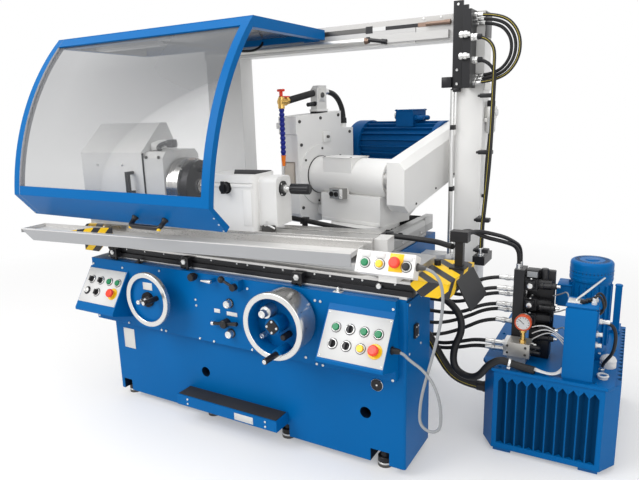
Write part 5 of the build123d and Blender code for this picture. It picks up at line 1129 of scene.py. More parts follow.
class GRINDER_OT_apron(GrinderOperator):
    """Make the screws, plates, knobs and oilers on the apron, the bed and the foot step"""
    bl_idname = "grinder.apron"
    bl_label = "Apron and bed trim"

    screws = ((-648, 695), (-407, 707), (-199, 599), (-197, 572), (91, 688), (-641, 418), (-425, 418),
              (-396, 418), (-849, 424), (-851, 695), (-190, 418), (416, 683), (440, 682), (743, 696),
              (416, 418), (444, 418), (741, 418), (99, 418), (366, 436), (-109, 418))
    knob_x = -8
    oiler_z = 725
    lever_hub = (-28, -49, 520)
    lever_along = (-0.9925, 0, -0.1219)

    def execute(self, context):
        self.apron()
        self.bed()
        self.start_lever()
        return {"FINISHED"}

    def apron(self):
        trim = Form("apron_trim", MACHINE)
        for x, z in self.screws:
            trim.screw((x, APRON_FACE, z), MINUS_Y, 5.5, 3.5)
        for z in (610, 474):
            knob = (self.knob_x, APRON_FACE, z)
            trim.turned(knob, MINUS_Y, [(0, 21), (4, 21), (5, 19)], "black_plastic")
            trim.turned(knob, MINUS_Y, [(4, 17), (24, 17), (27, 15), (27, 11), (25.5, 10)], "zinc")
        for x0, x1, z in ((-96, -64, 565), (-27, 29, 562)):
            trim.box((x0, APRON_FACE - 1.2, z - 9), (x1, APRON_FACE - 0.1, z + 9), "white_plate", 0.4)
        trim.turned((-82, APRON_FACE, 705), MINUS_Y, [(0, 9), (30, 9), (38, 7)], "blue_paint", 20)
        trim.turned((-74, -64, 705), (-1, 0, -0.02), [(0, 8.5), (10, 8.5), (56, 3.5), (58, 0)], "zinc", 20)
        trim.turned((-184, APRON_FACE, 712), MINUS_Y,
                    [(0, 8), (14, 8), (14, 17), (30, 19), (42, 16), (44, 0)], "black_plastic", 28)
        z = self.oiler_z
        for x, finish in ((510, "zinc"), (-551, "black_paint")):
            trim.box((x - 19, -26, z), (x + 19, -4, z + 3), finish, 1)
            trim.turned((x, -15, z + 3), PLUS_Z, [(0, 9), (6, 9), (6, 6), (14, 6), (17, 4)], finish, 18)
        trim.done("bed")

    def bed(self):
        bed = Form("bed_trim", MACHINE)
        window = Vector((663, 0, 369))
        bed.turned(window, MINUS_Y, [(0, 24), (3, 24), (5, 22.5), (5, 17), (3.5, 16)], "black_paint", 36)
        bed.turned(window, MINUS_Y, [(0.5, 25.5), (2, 25.5), (3, 24.5), (3, 22)], "zinc", 36)
        bed.screw(window + Vector((0, -3.5, 0)), MINUS_Y, 4, 2)
        bed.box((-721, -1.6, 268), (-647, -0.1, 371), "aluminium", 0.6)
        bed.screws((-715, -653), [-1.6], (274, 365), MINUS_Y, 2.6, 1.4)
        bed.box((-297, -84, 148.05), (241, -5, 150.6), "mat", 1.0)
        bed.box((27, -91.6, 104), (127, -90.1, 136), "aluminium", 0.6)
        bed.screws((33, 121), [-91.6], [120], MINUS_Y, 2.6, 1.4)
        bed.screws((-240, 190), [-90], (112, 134), MINUS_Y, 5, 3)
        bed.box((786.1, 58, 558), (797, 92, 612), "black_plastic", 2.5)
        bed.screws([797], (66, 84), (566, 604), PLUS_X, 3.2, 1.6)
        bed.screws([786], (18, 138), (512, 703), PLUS_X, 5, 3)
        for x in FRONT_FEET:
            bed.turned((x, 55, 20), PLUS_Z,
                       [(0.1, 29), (3, 29.5), (20, 29.5), (23, 27), (24, 20), (44, 19), (46, 12)],
                       "black_paint", 36)
        bed.turned(cable_route()[-1], PLUS_X, [(0, 15), (7, 15), (7, 12), (26, 11), (34, 8)],
                   "black_plastic", 24)
        bed.done("bed")

    def start_lever(self):
        lever = Form("start_lever_ends", MACHINE)
        along = Vector(self.lever_along)
        hub = Vector(self.lever_hub)
        lever.turned(hub + along * 58, along, [(0, 9), (0.5, 9.6), (13, 9.6), (15, 8)], "zinc", 24)
        lever.turned(hub - along * 40, -along, [(0, 8.6), (26, 9.4), (29, 7)], "black_plastic", 24)
        lever.turned(hub + Vector((0, -11, 0)), MINUS_Y,
                     [(0, 17.5), (3, 17.5), (5, 15), (5, 6), (6, 5)], "black_plastic", 28)
        lever.done("start_lever")


class GRINDER_OT_handwheels(GrinderOperator):
    """Make the cranks, plates, knobs and grip ends of the handwheels"""
    bl_idname = "grinder.handwheels"
    bl_label = "Handwheel trim"

    grip_length = 80.5
    knurls = 24
    marks = 36

    def execute(self, context):
        self.table_wheel(*TABLE_WHEEL)
        self.infeed_wheel(*INFEED_WHEEL)
        return {"FINISHED"}

    def table_wheel(self, x, z):
        wheel = Form("table_wheel_crank", MACHINE)
        crank = [(x - 34, z - 19), (x - 22, z - 24), (x + 34, z - 6), (x + 36, z + 12), (x + 14, z + 22),
                 (x - 30, z + 2)]
        wheel.prism(crank, 1, -137, -126, "black_paint", 2.0)
        wheel.turned((x - 34, -126, z - 10), MINUS_Y, [(0, 11), (22, 11), (25, 9), (25, 5), (23, 4)],
                     "zinc", 28)
        wheel.screw((x + 2, -137, z + 4), MINUS_Y, 7, 5)
        wheel.box((x - 26, -118.6, z + 44), (x + 30, -117.1, z + 78), "aluminium", 0.5)
        wheel.screws((x - 20, x + 24), [-118.6], [z + 61], MINUS_Y, 2.6, 1.4)
        wheel.done("table_handwheel")
        grip = Form("table_grip_end", MACHINE)
        grip.turned((x + 52, -117 - self.grip_length, z + 12), MINUS_Y,
                    [(-3, 8), (0.6, 8), (1.4, 7), (1.4, 3.5), (0.4, 3)], "zinc", 24)
        grip.done("table_grip")

    def infeed_wheel(self, x, z):
        feed = Form("infeed_wheel_trim", MACHINE)
        plate = [(x - 30, z + 2), (x - 8, z + 29), (x + 8, z + 29), (x + 31, z + 4), (x + 30, z - 6),
                 (x + 6, z - 30), (x - 6, z - 30), (x - 30, z - 6)]
        feed.prism(plate, 1, -165, -160, "black_paint", 1.5)
        for dx, dz in ((-22, 0), (1, 22), (22, -2), (0, -22)):
            feed.screw((x + dx, -165, z + dz), MINUS_Y, 4.6, 3)
        kx, kz = x - 43, z + 45
        feed.turned((kx, -94, kz), MINUS_Y,
                    [(0, 26), (44, 26), (47, 24), (47, 16), (70, 16), (73, 14), (73, 9), (71, 8)],
                    "zinc", 36)
        for a, b in around(self.knurls, 24.6):
            feed.box((kx + a - 1.4, -136, kz + b - 1.4), (kx + a + 1.4, -100, kz + b + 1.4), "zinc", 0.4)
        feed.turned((x - 74, -94, z - 62), MINUS_Y, [(0, 12), (34, 12), (37, 10), (37, 6), (35, 5)],
                    "zinc", 24)
        feed.turned((x + 36, -94, z - 44), MINUS_Y, [(0, 13), (48, 13), (52, 10)], "black_plastic", 24)
        for k in range(self.marks):
            width, depth = (2.2, 16) if k % 3 == 0 else (1.2, 9)
            spot = spun(MACHINE, (x, 0, z), -math.tau * k / self.marks, "Y")
            feed.box((125.4, -128, -width / 2), (126.4, -128 + depth, width / 2), "black_paint", 0, spot)
        feed.done("infeed_handwheel")
        tip = Form("infeed_grip_end", MACHINE)
        tip.turned((x + 20, -170 - self.grip_length, z - 104), MINUS_Y,
                   [(-3, 8.5), (0.6, 8.5), (1.6, 7), (1.6, 3.5), (0.6, 3)], "zinc", 24)
        tip.done("infeed_grip")


class GRINDER_OT_table(GrinderOperator):
    """Make the dog rail's screws and knob, the rear pipe and the ground strips of the table and the bed"""
    bl_idname = "grinder.table"
    bl_label = "Table trim"

    rail_screws = (-640, -520, -400, -120, 20, 75, 160, 252, 400, 469, 565, 606, 737)
    dogs = (-710, -256, 332)
    knob_x = 674

    def execute(self, context):
        self.dog_rail()
        self.rear_pipe()
        self.strips()
        return {"FINISHED"}

    def dog_rail(self):
        rail = Form("dog_rail_trim", MACHINE)
        rail.screws(self.rail_screws, [0], [780], MINUS_Y, 4, 2.4)
        for x in self.dogs:
            rail.turned((x, -26, 764.5), MINUS_Y, [(0, 13), (5, 13), (6.5, 11.5), (6.5, 7)], "zinc", 6)
            rail.box((x - 34, -14, 728), (x - 10, -2, 741), "black_paint", 2)
            rail.turned((x + 8, -14, 740.5), MINUS_Z, [(0, 7), (12, 7), (14, 5)], "black_paint", 18)
        x = self.knob_x
        rail.turned((x, 12, 791), PLUS_Z, [(0, 10), (3, 10), (6, 7), (14, 6)], "zinc", 24)
        rail.turned((x, 12, 805), PLUS_Z,
                    [(0, 5), (2, 9), (6, 12), (11, 13), (16, 12), (20, 9), (22, 5), (23, 0)],
                    "black_plastic", 24)
        rail.turned((x, 0, 766), MINUS_Y, [(0, 12), (4, 12), (8, 9)], "zinc", 24)
        rail.done("table")

    def rear_pipe(self):
        pipe = Form("table_rear_pipe", MACHINE)
        pipe.tube([(78, 316, 930), (120, 316, 926), (300, 316, 905), (430, 314, 893), (560, 312, 886),
                   (700, 306, 884), (800, 280, 885), (850, 232, 888), (884, 206, 890)], 11, "rubber")
        pipe.turned((66, 316, 931), (1, 0, -0.08), [(0, 13), (26, 13), (28, 11.5)], "zinc", 20)
        for x, z in ((170, 920), (579, 886)):
            pipe.box((x - 12, 251, 826.5), (x + 12, 322, 833), "black_paint", 1.5)
            pipe.box((x - 12, 310, 830), (x + 12, 322, z - 6), "black_paint", 1.5)
            pipe.box((x - 16, 298, z - 14), (x + 16, 332, z + 15), "black_paint", 3)
        pipe.done("table")

    def strips(self):
        strips = Form("table_way_strips", MACHINE)
        for low, high in (((-766, 27.5, 793), (801, 30, 803)), ((-766, 27.5, 826), (801, 30, 837)),
                          ((-768, -1.6, 785), (803, 28, 796))):
            strips.box(low, high, "ground_steel", 0.8)
        strips.done("table")
        way = Form("bed_way_strip", MACHINE)
        way.box((-776, 1.5, 725.1), (782, 28, 737), "ground_steel", 0.8)
        way.done("bed")


class GRINDER_OT_heads(GrinderOperator):
    """Make the trim of the workhead and of the tailstock"""
    bl_idname = "grinder.heads"
    bl_label = "Workhead and tailstock trim"

    def execute(self, context):
        self.workhead()
        self.driver_plate()
        self.tailstock()
        return {"FINISHED"}

    def workhead(self):
        work = Form("workhead_trim", TABLE)
        work.screws((-716, -572), [-132], (1188, 985), MINUS_Y, 6, 3)
        work.screws((-440, -372), [-125], (1222, 975), MINUS_Y, 7, 4, "dark_steel")
        work.box((-460, -131, 957), (-456, -121, 1240), "black_paint", 0.8)
        work.box((-803, -125.5, 925), (-352, -119.2, 955), "white_paint", 2)
        work.turned((-351.9, 0, AXIS_Z), PLUS_X, [(0, 118), (4, 118), (6, 116), (6, 64)], "white_paint", 64)
        work.prism([(-452, 1246), (-330, 1268), (-330, 1284), (-398, 1296), (-452, 1280)], 1, -72, -36,
                   "white_paint", 2)
        work.tube([(-418, -54, 1248), (-410, -78, 1262), (-380, -84, 1276), (-352, -80, 1282),
                   (-330, -70, 1276)], 11, "rubber")
        work.box((-352, -92, 1262), (-322, -52, 1296), "black_plastic", 4)
        work.box((-440, -60, 1241), (-340, 40, 1249), "white_paint", 2)
        work.prism([(-930, 868.2), (-786, 891), (-665, 897), (-665, 868.2)], 1, -140, -136.5, "stripes", 0.5)
        work.box((-806, -136.6, 868.2), (-668, -125, 872), "white_paint", 0.8)
        work.done("swivel_table")

    def driver_plate(self):
        nose = Form("driver_plate_trim", TABLE)
        for y, z in around(6, 122, 0.3):
            nose.screw((-285, y, AXIS_Z + z), PLUS_X, 4.5, 3)
        for x in (-330, -318):
            nose.turned((x, 0, AXIS_Z), PLUS_X, [(0, 127.9), (0.6, 128.5), (1.6, 128.5), (2.2, 127.9)],
                        "dark_steel", 72)
        for y, z in around(4, 107, 0.5):
            nose.screw((-245, y, AXIS_Z + z), PLUS_X, 6, 4, "dark_steel")
        nose.done("work_spindle")

    def tailstock(self):
        tail = Form("tailstock_trim", TABLE)
        tail.prism([(-32, -66), (70, -66), (70, 80), (-118, 80)], 2, 1150.1, 1153, "mat", 0.8)
        tail.box((20, -93, 935), (62, -89.8, 1085), "white_paint", 2)
        tail.screw((110, -55, 950), MINUS_Y, 5, 3)
        tail.screws([168], (-21.6, 21.6), (AXIS_Z - 21.6, AXIS_Z + 21.6), PLUS_X, 3.4, 2)
        tail.box((-132, -93, 1096), (70, -90.1, 1109), "white_paint", 1.2)
        tail.turned((-59, -90.1, 1094), MINUS_Y, [(0, 26), (2.5, 26), (4, 24.5), (4, 21)], "black_paint", 36)
        tail.box((92, -70, 912), (150, -50, 936), "dark_steel", 3)
        tail.tube([(100, -64, 932), (120, -74, 940), (140, -80, 936), (158, -78, 926)], 4, "zinc")
        tail.done("tailstock")


class GRINDER_OT_wheelhead(GrinderOperator):
    """Make the trim of the wheelhead, its guards, its motor, its slide and the coolant pipe"""
    bl_idname = "grinder.wheelhead"
    bl_label = "Wheelhead trim"

    guard_screws = ((-136, 1352), (14, 1366), (150, 1378), (240, 1290), (-128, 930), (-128, 1240), (240, 930))
    motor_at = (415, 1215)
    motor_rings = 5
    motor_spokes = 12
    belt_run = (415, 130)
    bellows_folds = 16
    bellows_pitch = 30

    def execute(self, context):
        self.head()
        self.motor()
        self.belt_guard()
        self.slide()
        self.coolant()
        return {"FINISHED"}

    def head(self):
        head = Form("wheelhead_trim", HEAD)
        for y, z in self.guard_screws:
            head.screw((-292, y, z), PLUS_X, 8, 6, "dark_steel")
        for y, z in around(6, 132, 0.4):
            head.screw((-286, y, AXIS_Z + z), PLUS_X, 6, 4, "dark_steel")
        head.turned((-286, 0, AXIS_Z), PLUS_X, [(0, 95), (4, 95), (4, 92.2)], "black_paint", 64)
        head.box((-292, 26, 1246), (-281, 80, 1298), "white_paint", 2)
        head.turned((-281, 53, 1272), PLUS_X, [(0, 7), (10, 7), (12, 5)], "dark_steel", 20)
        head.box((-440, -152, 1318), (-411.5, -122, 1348), "white_paint", 4)
        head.box((-190, -92, 1180.1), (-6, 44, 1184), "white_paint", 1.5)
        head.screws((-180, -16), (-82, 34), [1184], PLUS_Z, 5, 3, "dark_steel")
        head.box((-121, -121, 992), (-62, -117.5, 1038), "cable", 2)
        head.box((-100, -122, 1028), (-66, -120.8, 1033), "black_paint", 0.4)
        head.box((-60, -120, 992), (-42, -117.5, 1038), "white_paint", 1)
        for x in (-107, -77):
            head.turned((x, -121, 1013), MINUS_Y, [(0, 12), (5, 12), (6, 10), (1, 8)], "black_paint", 24)
        head.screw((-51, -120, 1004), MINUS_Y, 4.5, 2.4)
        head.box((-200, -86.4, 874), (148, -83.9, 890), "white_paint", 1)
        head.done("wheelhead")

    def motor(self):
        motor = Form("wheel_motor_trim", HEAD)
        my, mz = self.motor_at
        for k in range(self.motor_rings):
            r = 30 + 18 * k
            motor.turned((-365.2, my, mz), MINUS_X, [(-0.5, r), (1.6, r), (1.6, r + 7), (-0.5, r + 7)],
                         "motor_paint", 40)
        for k in range(self.motor_spokes):
            spoke = spun(HEAD, (-366.6, my, mz), math.tau * k / self.motor_spokes, "X")
            motor.box((-0.6, 26, -3), (1.4, 108, 3), "motor_paint", 0.4, spoke)
        motor.box((-70, my - 74, 1388), (42, my + 54, 1396), "motor_paint", 2)
        motor.screws((-62, 34), (my - 66, my + 46), [1396], PLUS_Z, 4.5, 3)
        for y in (my - 40, my + 10):
            motor.turned((38, y, 1352), PLUS_X, [(0, 17), (10, 17), (10, 13), (40, 12), (46, 9)],
                         "motor_paint", 24)
        eye = [(-106, my + a, 1366 + b) for a, b in around(12, 20)]
        motor.tube(eye + eye[:1], 5, "zinc")
        motor.done("wheelhead")

    def belt_guard(self):
        guard = Form("belt_guard_trim", HEAD)
        run, rise = self.belt_run
        lean = spun(HEAD, (0, 0, AXIS_Z), math.atan2(rise, run), "X")
        guard.screws([290], (-30, 140, 310, 480), [-96], PLUS_X, 5, 3, "dark_steel", lean)
        guard.box((288, -44, -114), (291.2, 486, -108), "white_paint", 0.8, lean)
        guard.done("wheelhead")

    def slide(self):
        cover = Form("slide_bellows", MACHINE)
        pitch = self.bellows_pitch
        for k in range(self.bellows_folds):
            y = 470 + pitch * k
            fold = [(y, 823.2), (y + pitch, 823.2), (y + pitch, 846), (y + pitch / 2, 858), (y, 846)]
            cover.prism(fold, 0, 430, 503, "rubber", 0.8)
        cover.box((500, 402, 858), (538, 872, 862), "slide", 1.5)
        cover.screws([541], (440, 560, 680, 800), [800], PLUS_X, 6, 4)
        cover.box((540.1, 404, 768), (544, 876, 786), "slide", 1)
        cover.box((426, 870, 786), (541, 985, 824), "slide", 3)
        cover.box((502, 870, 822), (541, 985, 862), "slide", 3)
        cover.turned((540, 520, 842), PLUS_X, [(0, 12), (14, 12), (18, 9)], "black_plastic", 20)
        cover.done("wheel_slide")

    def coolant(self):
        coolant = Form("coolant_trim", HEAD)
        x = COOLANT_X
        coolant.box((x - 27, 6, 1398), (x + 27, 88, 1410), "white_paint", 2)
        coolant.box((x - 25, 9, 1385), (x + 25, 85, 1398.5), "rubber", 1)
        coolant.turned((x, 8, 1488), (0, -222, -44), [(0, 15), (3, 16.5), (176, 16.5), (180, 14)],
                       "rubber", 28)
        coolant.box((x - 26, 24, 1446), (x + 26, 70, 1508), "aluminium", 5)
        coolant.turned((x + 24, 47, 1478), PLUS_X, [(0, 13), (6, 13), (8, 11)], "dark_steel", 24)
        coolant.turned((x + 8, 12, 1436), (0, -1, -0.08),
                       [(0, 12), (8, 12), (8, 7), (16, 7), (16, 10.5), (24, 10.5), (24, 9), (27, 10.5),
                        (35, 10.5), (35, 9), (38, 10.5), (54, 10), (56, 8)], "black_plastic", 20)
        coolant.turned((x, -173, 1453), (0, 1, 0.2), [(-10, 19), (2, 19), (4, 17), (4, 12)], "brass", 6)
        coolant.turned((x, -214, 1464), PLUS_Z, [(-2, 13), (6, 13), (8, 11), (8, 6)], "brass", 24)
        coolant.turned((x, COOLANT_BACK, COOLANT_TOP - 30), PLUS_Y,
                       [(0, 20), (8, 20), (8, 17), (28, 16.5), (30, 14.4)], "zinc", 24)
        coolant.turned((x, STUB_Y, STUB_TOP), PLUS_Z, [(0, 18), (26, 17), (28, 14.4)], "rubber", 24)
        coolant.done("wheelhead")
        handle = Form("coolant_valve_handle", HEAD)
        handle.box((x - 5, -222, 1473.8), (x + 5, -206, 1500), "red_plastic", 2)
        handle.box((x - 22, -221, 1494), (x + 22, -207, 1506), "red_plastic", 4)
        handle.done("coolant_valve")


class GRINDER_OT_hood(GrinderOperator):
    """Make the lamp, the handle and the roof bar of the hood"""
    bl_idname = "grinder.hood"
    bl_label = "Hood trim"

    handle_x = (-411, -236)
    handle_below_top = 98

    def execute(self, context):
        hood = Form("hood_trim", MACHINE)
        hood.box((-1060, 300, 1738), (-620, 372, 1756), "white_paint", 4)
        hood.box((-1050, 308, 1734), (-630, 364, 1739), "white_plate", 2)
        for x in (-1000, -680):
            hood.box((x - 15, 320, 1754), (x + 15, 352, 1767), "dark_steel", 1)
        hood.tube([(-622, 336, 1748), (-560, 350, 1744), (-430, 420, 1722), (-330, 520, 1700),
                   (-300, 640, 1704), (-296, 716, 1740), (-296, 716, 1756)], 6, "rubber")
        up = math.hypot(*HOOD_RISE) - self.handle_below_top
        left, right = self.handle_x
        for x, inward in ((left, 6), (right, -6)):
            hood.turned((x, up, 0), PLUS_Z, [(0, 15), (4, 15), (7, 12), (20, 10), (22, 7.2)],
                        "black_plastic", 24, HOOD_FACE)
            hood.turned((x + inward, up - 3, 50), (0, -0.6, 1), [(-6, 8.5), (5, 8.5), (7, 6.5)],
                        "yellow_plastic", 20, HOOD_FACE)
        hood.prism([(150, 1784.7), (112.7, 1745.6), (118.1, 1740.7), (155.2, 1779.6)], 0, -1110.2, 20.2,
                   "blue_paint")
        bow = [(left, 8), (left, 30), (left + 6, 45), (left + 26, 47), (right - 26, 47), (right - 6, 45),
               (right, 30), (right, 8)]
        hood.tube([(x, up, rise) for x, rise in bow], 11, "black_plastic", HOOD_FACE)
        hood.screws((-1146, 50), (up - 40, up, up + 40), [0], PLUS_Z, 4, 2.5, "zinc", HOOD_FACE)
        hood.done("hood")
        return {"FINISHED"}


class GRINDER_OT_column(GrinderOperator):
    """Make the hose bracket's couplings, the filter unit and the beam's trim"""
    bl_idname = "grinder.column"
    bl_label = "Column trim"

    column_side = 835.1
    filter_at = (858, 825)
    strips = ((-700, 272, 11, "dark_steel"), (272, 308, 16, "black_paint"), (308, 374, 9.5, "white_plate"),
              (374, 533, 8, "black_paint"), (533, 580, 9.5, "bronze"))
    cylinder_at = (745, 1717)

    def execute(self, context):
        col = Form("column_trim", MACHINE)
        self.bracket(col)
        self.filter(col)
        self.beam(col)
        col.done("bed")
        return {"FINISHED"}

    def bracket(self, col):
        """Clamps and couplings round the hose bracket and the conduit."""
        col.box((655, 734, 1486), (699.9, 759.5, 1532), "black_paint", 2)
        col.screws([721], [748], (1834, 1500, 1560), MINUS_Y, 6, 4)
        col.box((706, 738, 1466), (736, 769, 1482), "black_paint", 2)
        for i in range(COLUMN_DROPS):
            x, y, z = drop_route(i)[0]
            col.turned((x, y, z), PLUS_X, [(0, 17), (10, 17), (10, 13), (14, 13), (14, 16), (26, 16)],
                       "zinc", 6)
            col.turned((x + 26, y, z), PLUS_X, [(0, 12), (18, 11), (20, 8)], "black_plastic", 24)
        for z in (1697, 1610):
            col.turned((756, 656, z), PLUS_X,
                       [(0, 11), (4, 11), (4, 15), (16, 15), (16, 11.5), (21, 11.5), (21, 15), (34, 15),
                        (34, 10), (44, 10)], "zinc", 6)
        for z in (1020, 1300):
            col.box((698, 736, z), (716, 770, z + 22), "black_paint", 2)

    def filter(self, col):
        """Filter unit and hose clamps on the right column's side."""
        side = self.column_side
        x, y = self.filter_at
        col.box((side, 788, 1330), (852, 862, 1350), "aluminium", 2)
        col.box((836, 800, 1345), (880, 850, 1400), "aluminium", 5)
        col.turned((x, y, 1345), MINUS_Z, [(0, 22), (52, 21), (64, 15), (66, 6), (82, 6)],
                   "white_plate", 28)
        col.turned((x, y, 1400), PLUS_Z, [(0, 18), (22, 18), (26, 14)], "black_plastic", 28)
        col.turned((x + 22, y, 1372), PLUS_X, [(0, 16), (6, 16), (8, 14)], "white_plate", 28)
        col.tube([(858, 800, 1280), (858, 796, 1240), (850, 800, 1180), (846, 806, 1090),
                  (846, 806, 1000)], 4, "rubber")
        col.box((side, 796, 990), (852, 816, 1004), "black_paint", 1)
        col.box((side, 772, 1470), (842, 878, 1500), "aluminium", 2)
        for z in (1440, 1200, 900, 760):
            col.box((side, 676, z), (843, 772, z + 10), "black_paint", 1)
            col.box((843, 676, z - 4), (902, 712, z + 14), "black_paint", 3)

    def beam(self, form):
        """Flat strips, end rod, sensor and drive cylinder on the front of the beam."""
        for x0, x1, half, finish in self.strips:
            form.box((x0, 759.3, ROD_Z - half), (x1, 760.2, ROD_Z + half), finish, 0)
        form.turned((576, 749.5, ROD_Z), PLUS_X, [(0, 9.5), (84, 9.5), (84, 11), (112, 11), (113, 0)],
                    "bronze", 24)
        form.box((284, 736, 1706), (302, 760.5, 1734), "black_paint", 3)
        form.turned((296, 744, 1721), (0.985, 0, -0.17),
                    [(0, 9), (64, 9), (66, 12), (92, 12), (94, 10)], "black_plastic", 24)
        form.turned((-690, *self.cylinder_at), PLUS_X, [(0, 14.5), (966, 14.5)], "aluminium", 28)
        form.turned((276, *self.cylinder_at), PLUS_X, [(0, 16), (10, 16), (12, 13), (20, 13)],
                    "bronze", 28)
        form.box((521, 759.4, 1694), (524, 761.5, 1776), "dark_steel", 0.6)
        form.screws((-690, -600, 560, 640), [760], [1792], MINUS_Y, 5, 3)


class GRINDER_OT_rear(GrinderOperator):
    """Make the cover plates, vents, bolts and the level gauge at the back"""
    bl_idname = "grinder.rear"
    bl_label = "Rear trim"

    slots = 7
    slot_pitch = 26
    screw_inset = 15

    def execute(self, context):
        rear = Form("rear_trim", MACHINE)
        self.cover(rear, (-690, 340), (60, 690), 270)
        self.cover(rear, (150, 130), (510, 650), 1000)
        for k in range(self.slots):
            for x0, x1, y, z in ((-600, -430, 272.8, 420), (240, 420, 1002.8, 200)):
                low = z + self.slot_pitch * k
                rear.box((x0, y, low), (x1, y + 3.2, low + 10), "black_paint", 1)
        for x, y in product((-745, -470), (750, 900)):
            rear.turned((x, y, 16), PLUS_Z, [(0, 14), (4, 14), (4, 11), (16, 11), (17, 9)], "zinc", 6)
        rear.screws((-700, -515, 735, 815), [870], (1710, 1780), PLUS_Y, 6, 4)
        rear.screws((-470, 90, 570, 700), [865], (580, 680), PLUS_Y, 7, 5)
        rear.box((-727.5, 764, 1694), (-725, 866, 1796), "black_plastic", 1)
        rear.box((836, 764, 1694), (838.5, 866, 1796), "black_plastic", 1)
        rear.box((-640, 880, 60), (-600, 904, 1680), "white_plate", 3)
        rear.box((60, 730, 120), (84, 738, 300), "black_plastic", 2, TANK)
        rear.box((66, 737.5, 140), (78, 739, 280), "white_plate", 0.5, TANK)
        rear.turned((253, 730, 60), PLUS_Y, [(0, 18), (4, 18), (4, 14), (16, 14), (18, 12)],
                    "zinc", 6, TANK)
        rear.done("bed")
        return {"FINISHED"}

    def cover(self, form, low, high, y):
        """Screwed cover plate on a rear face."""
        form.box((low[0], y + 0.1, low[1]), (high[0], y + 3, high[1]), "blue_paint", 1.2)
        xs = (low[0] + self.screw_inset, (low[0] + high[0]) / 2, high[0] - self.screw_inset)
        form.screws(xs, [y + 3], (low[1] + self.screw_inset, high[1] - self.screw_inset), PLUS_Y, 6, 4)


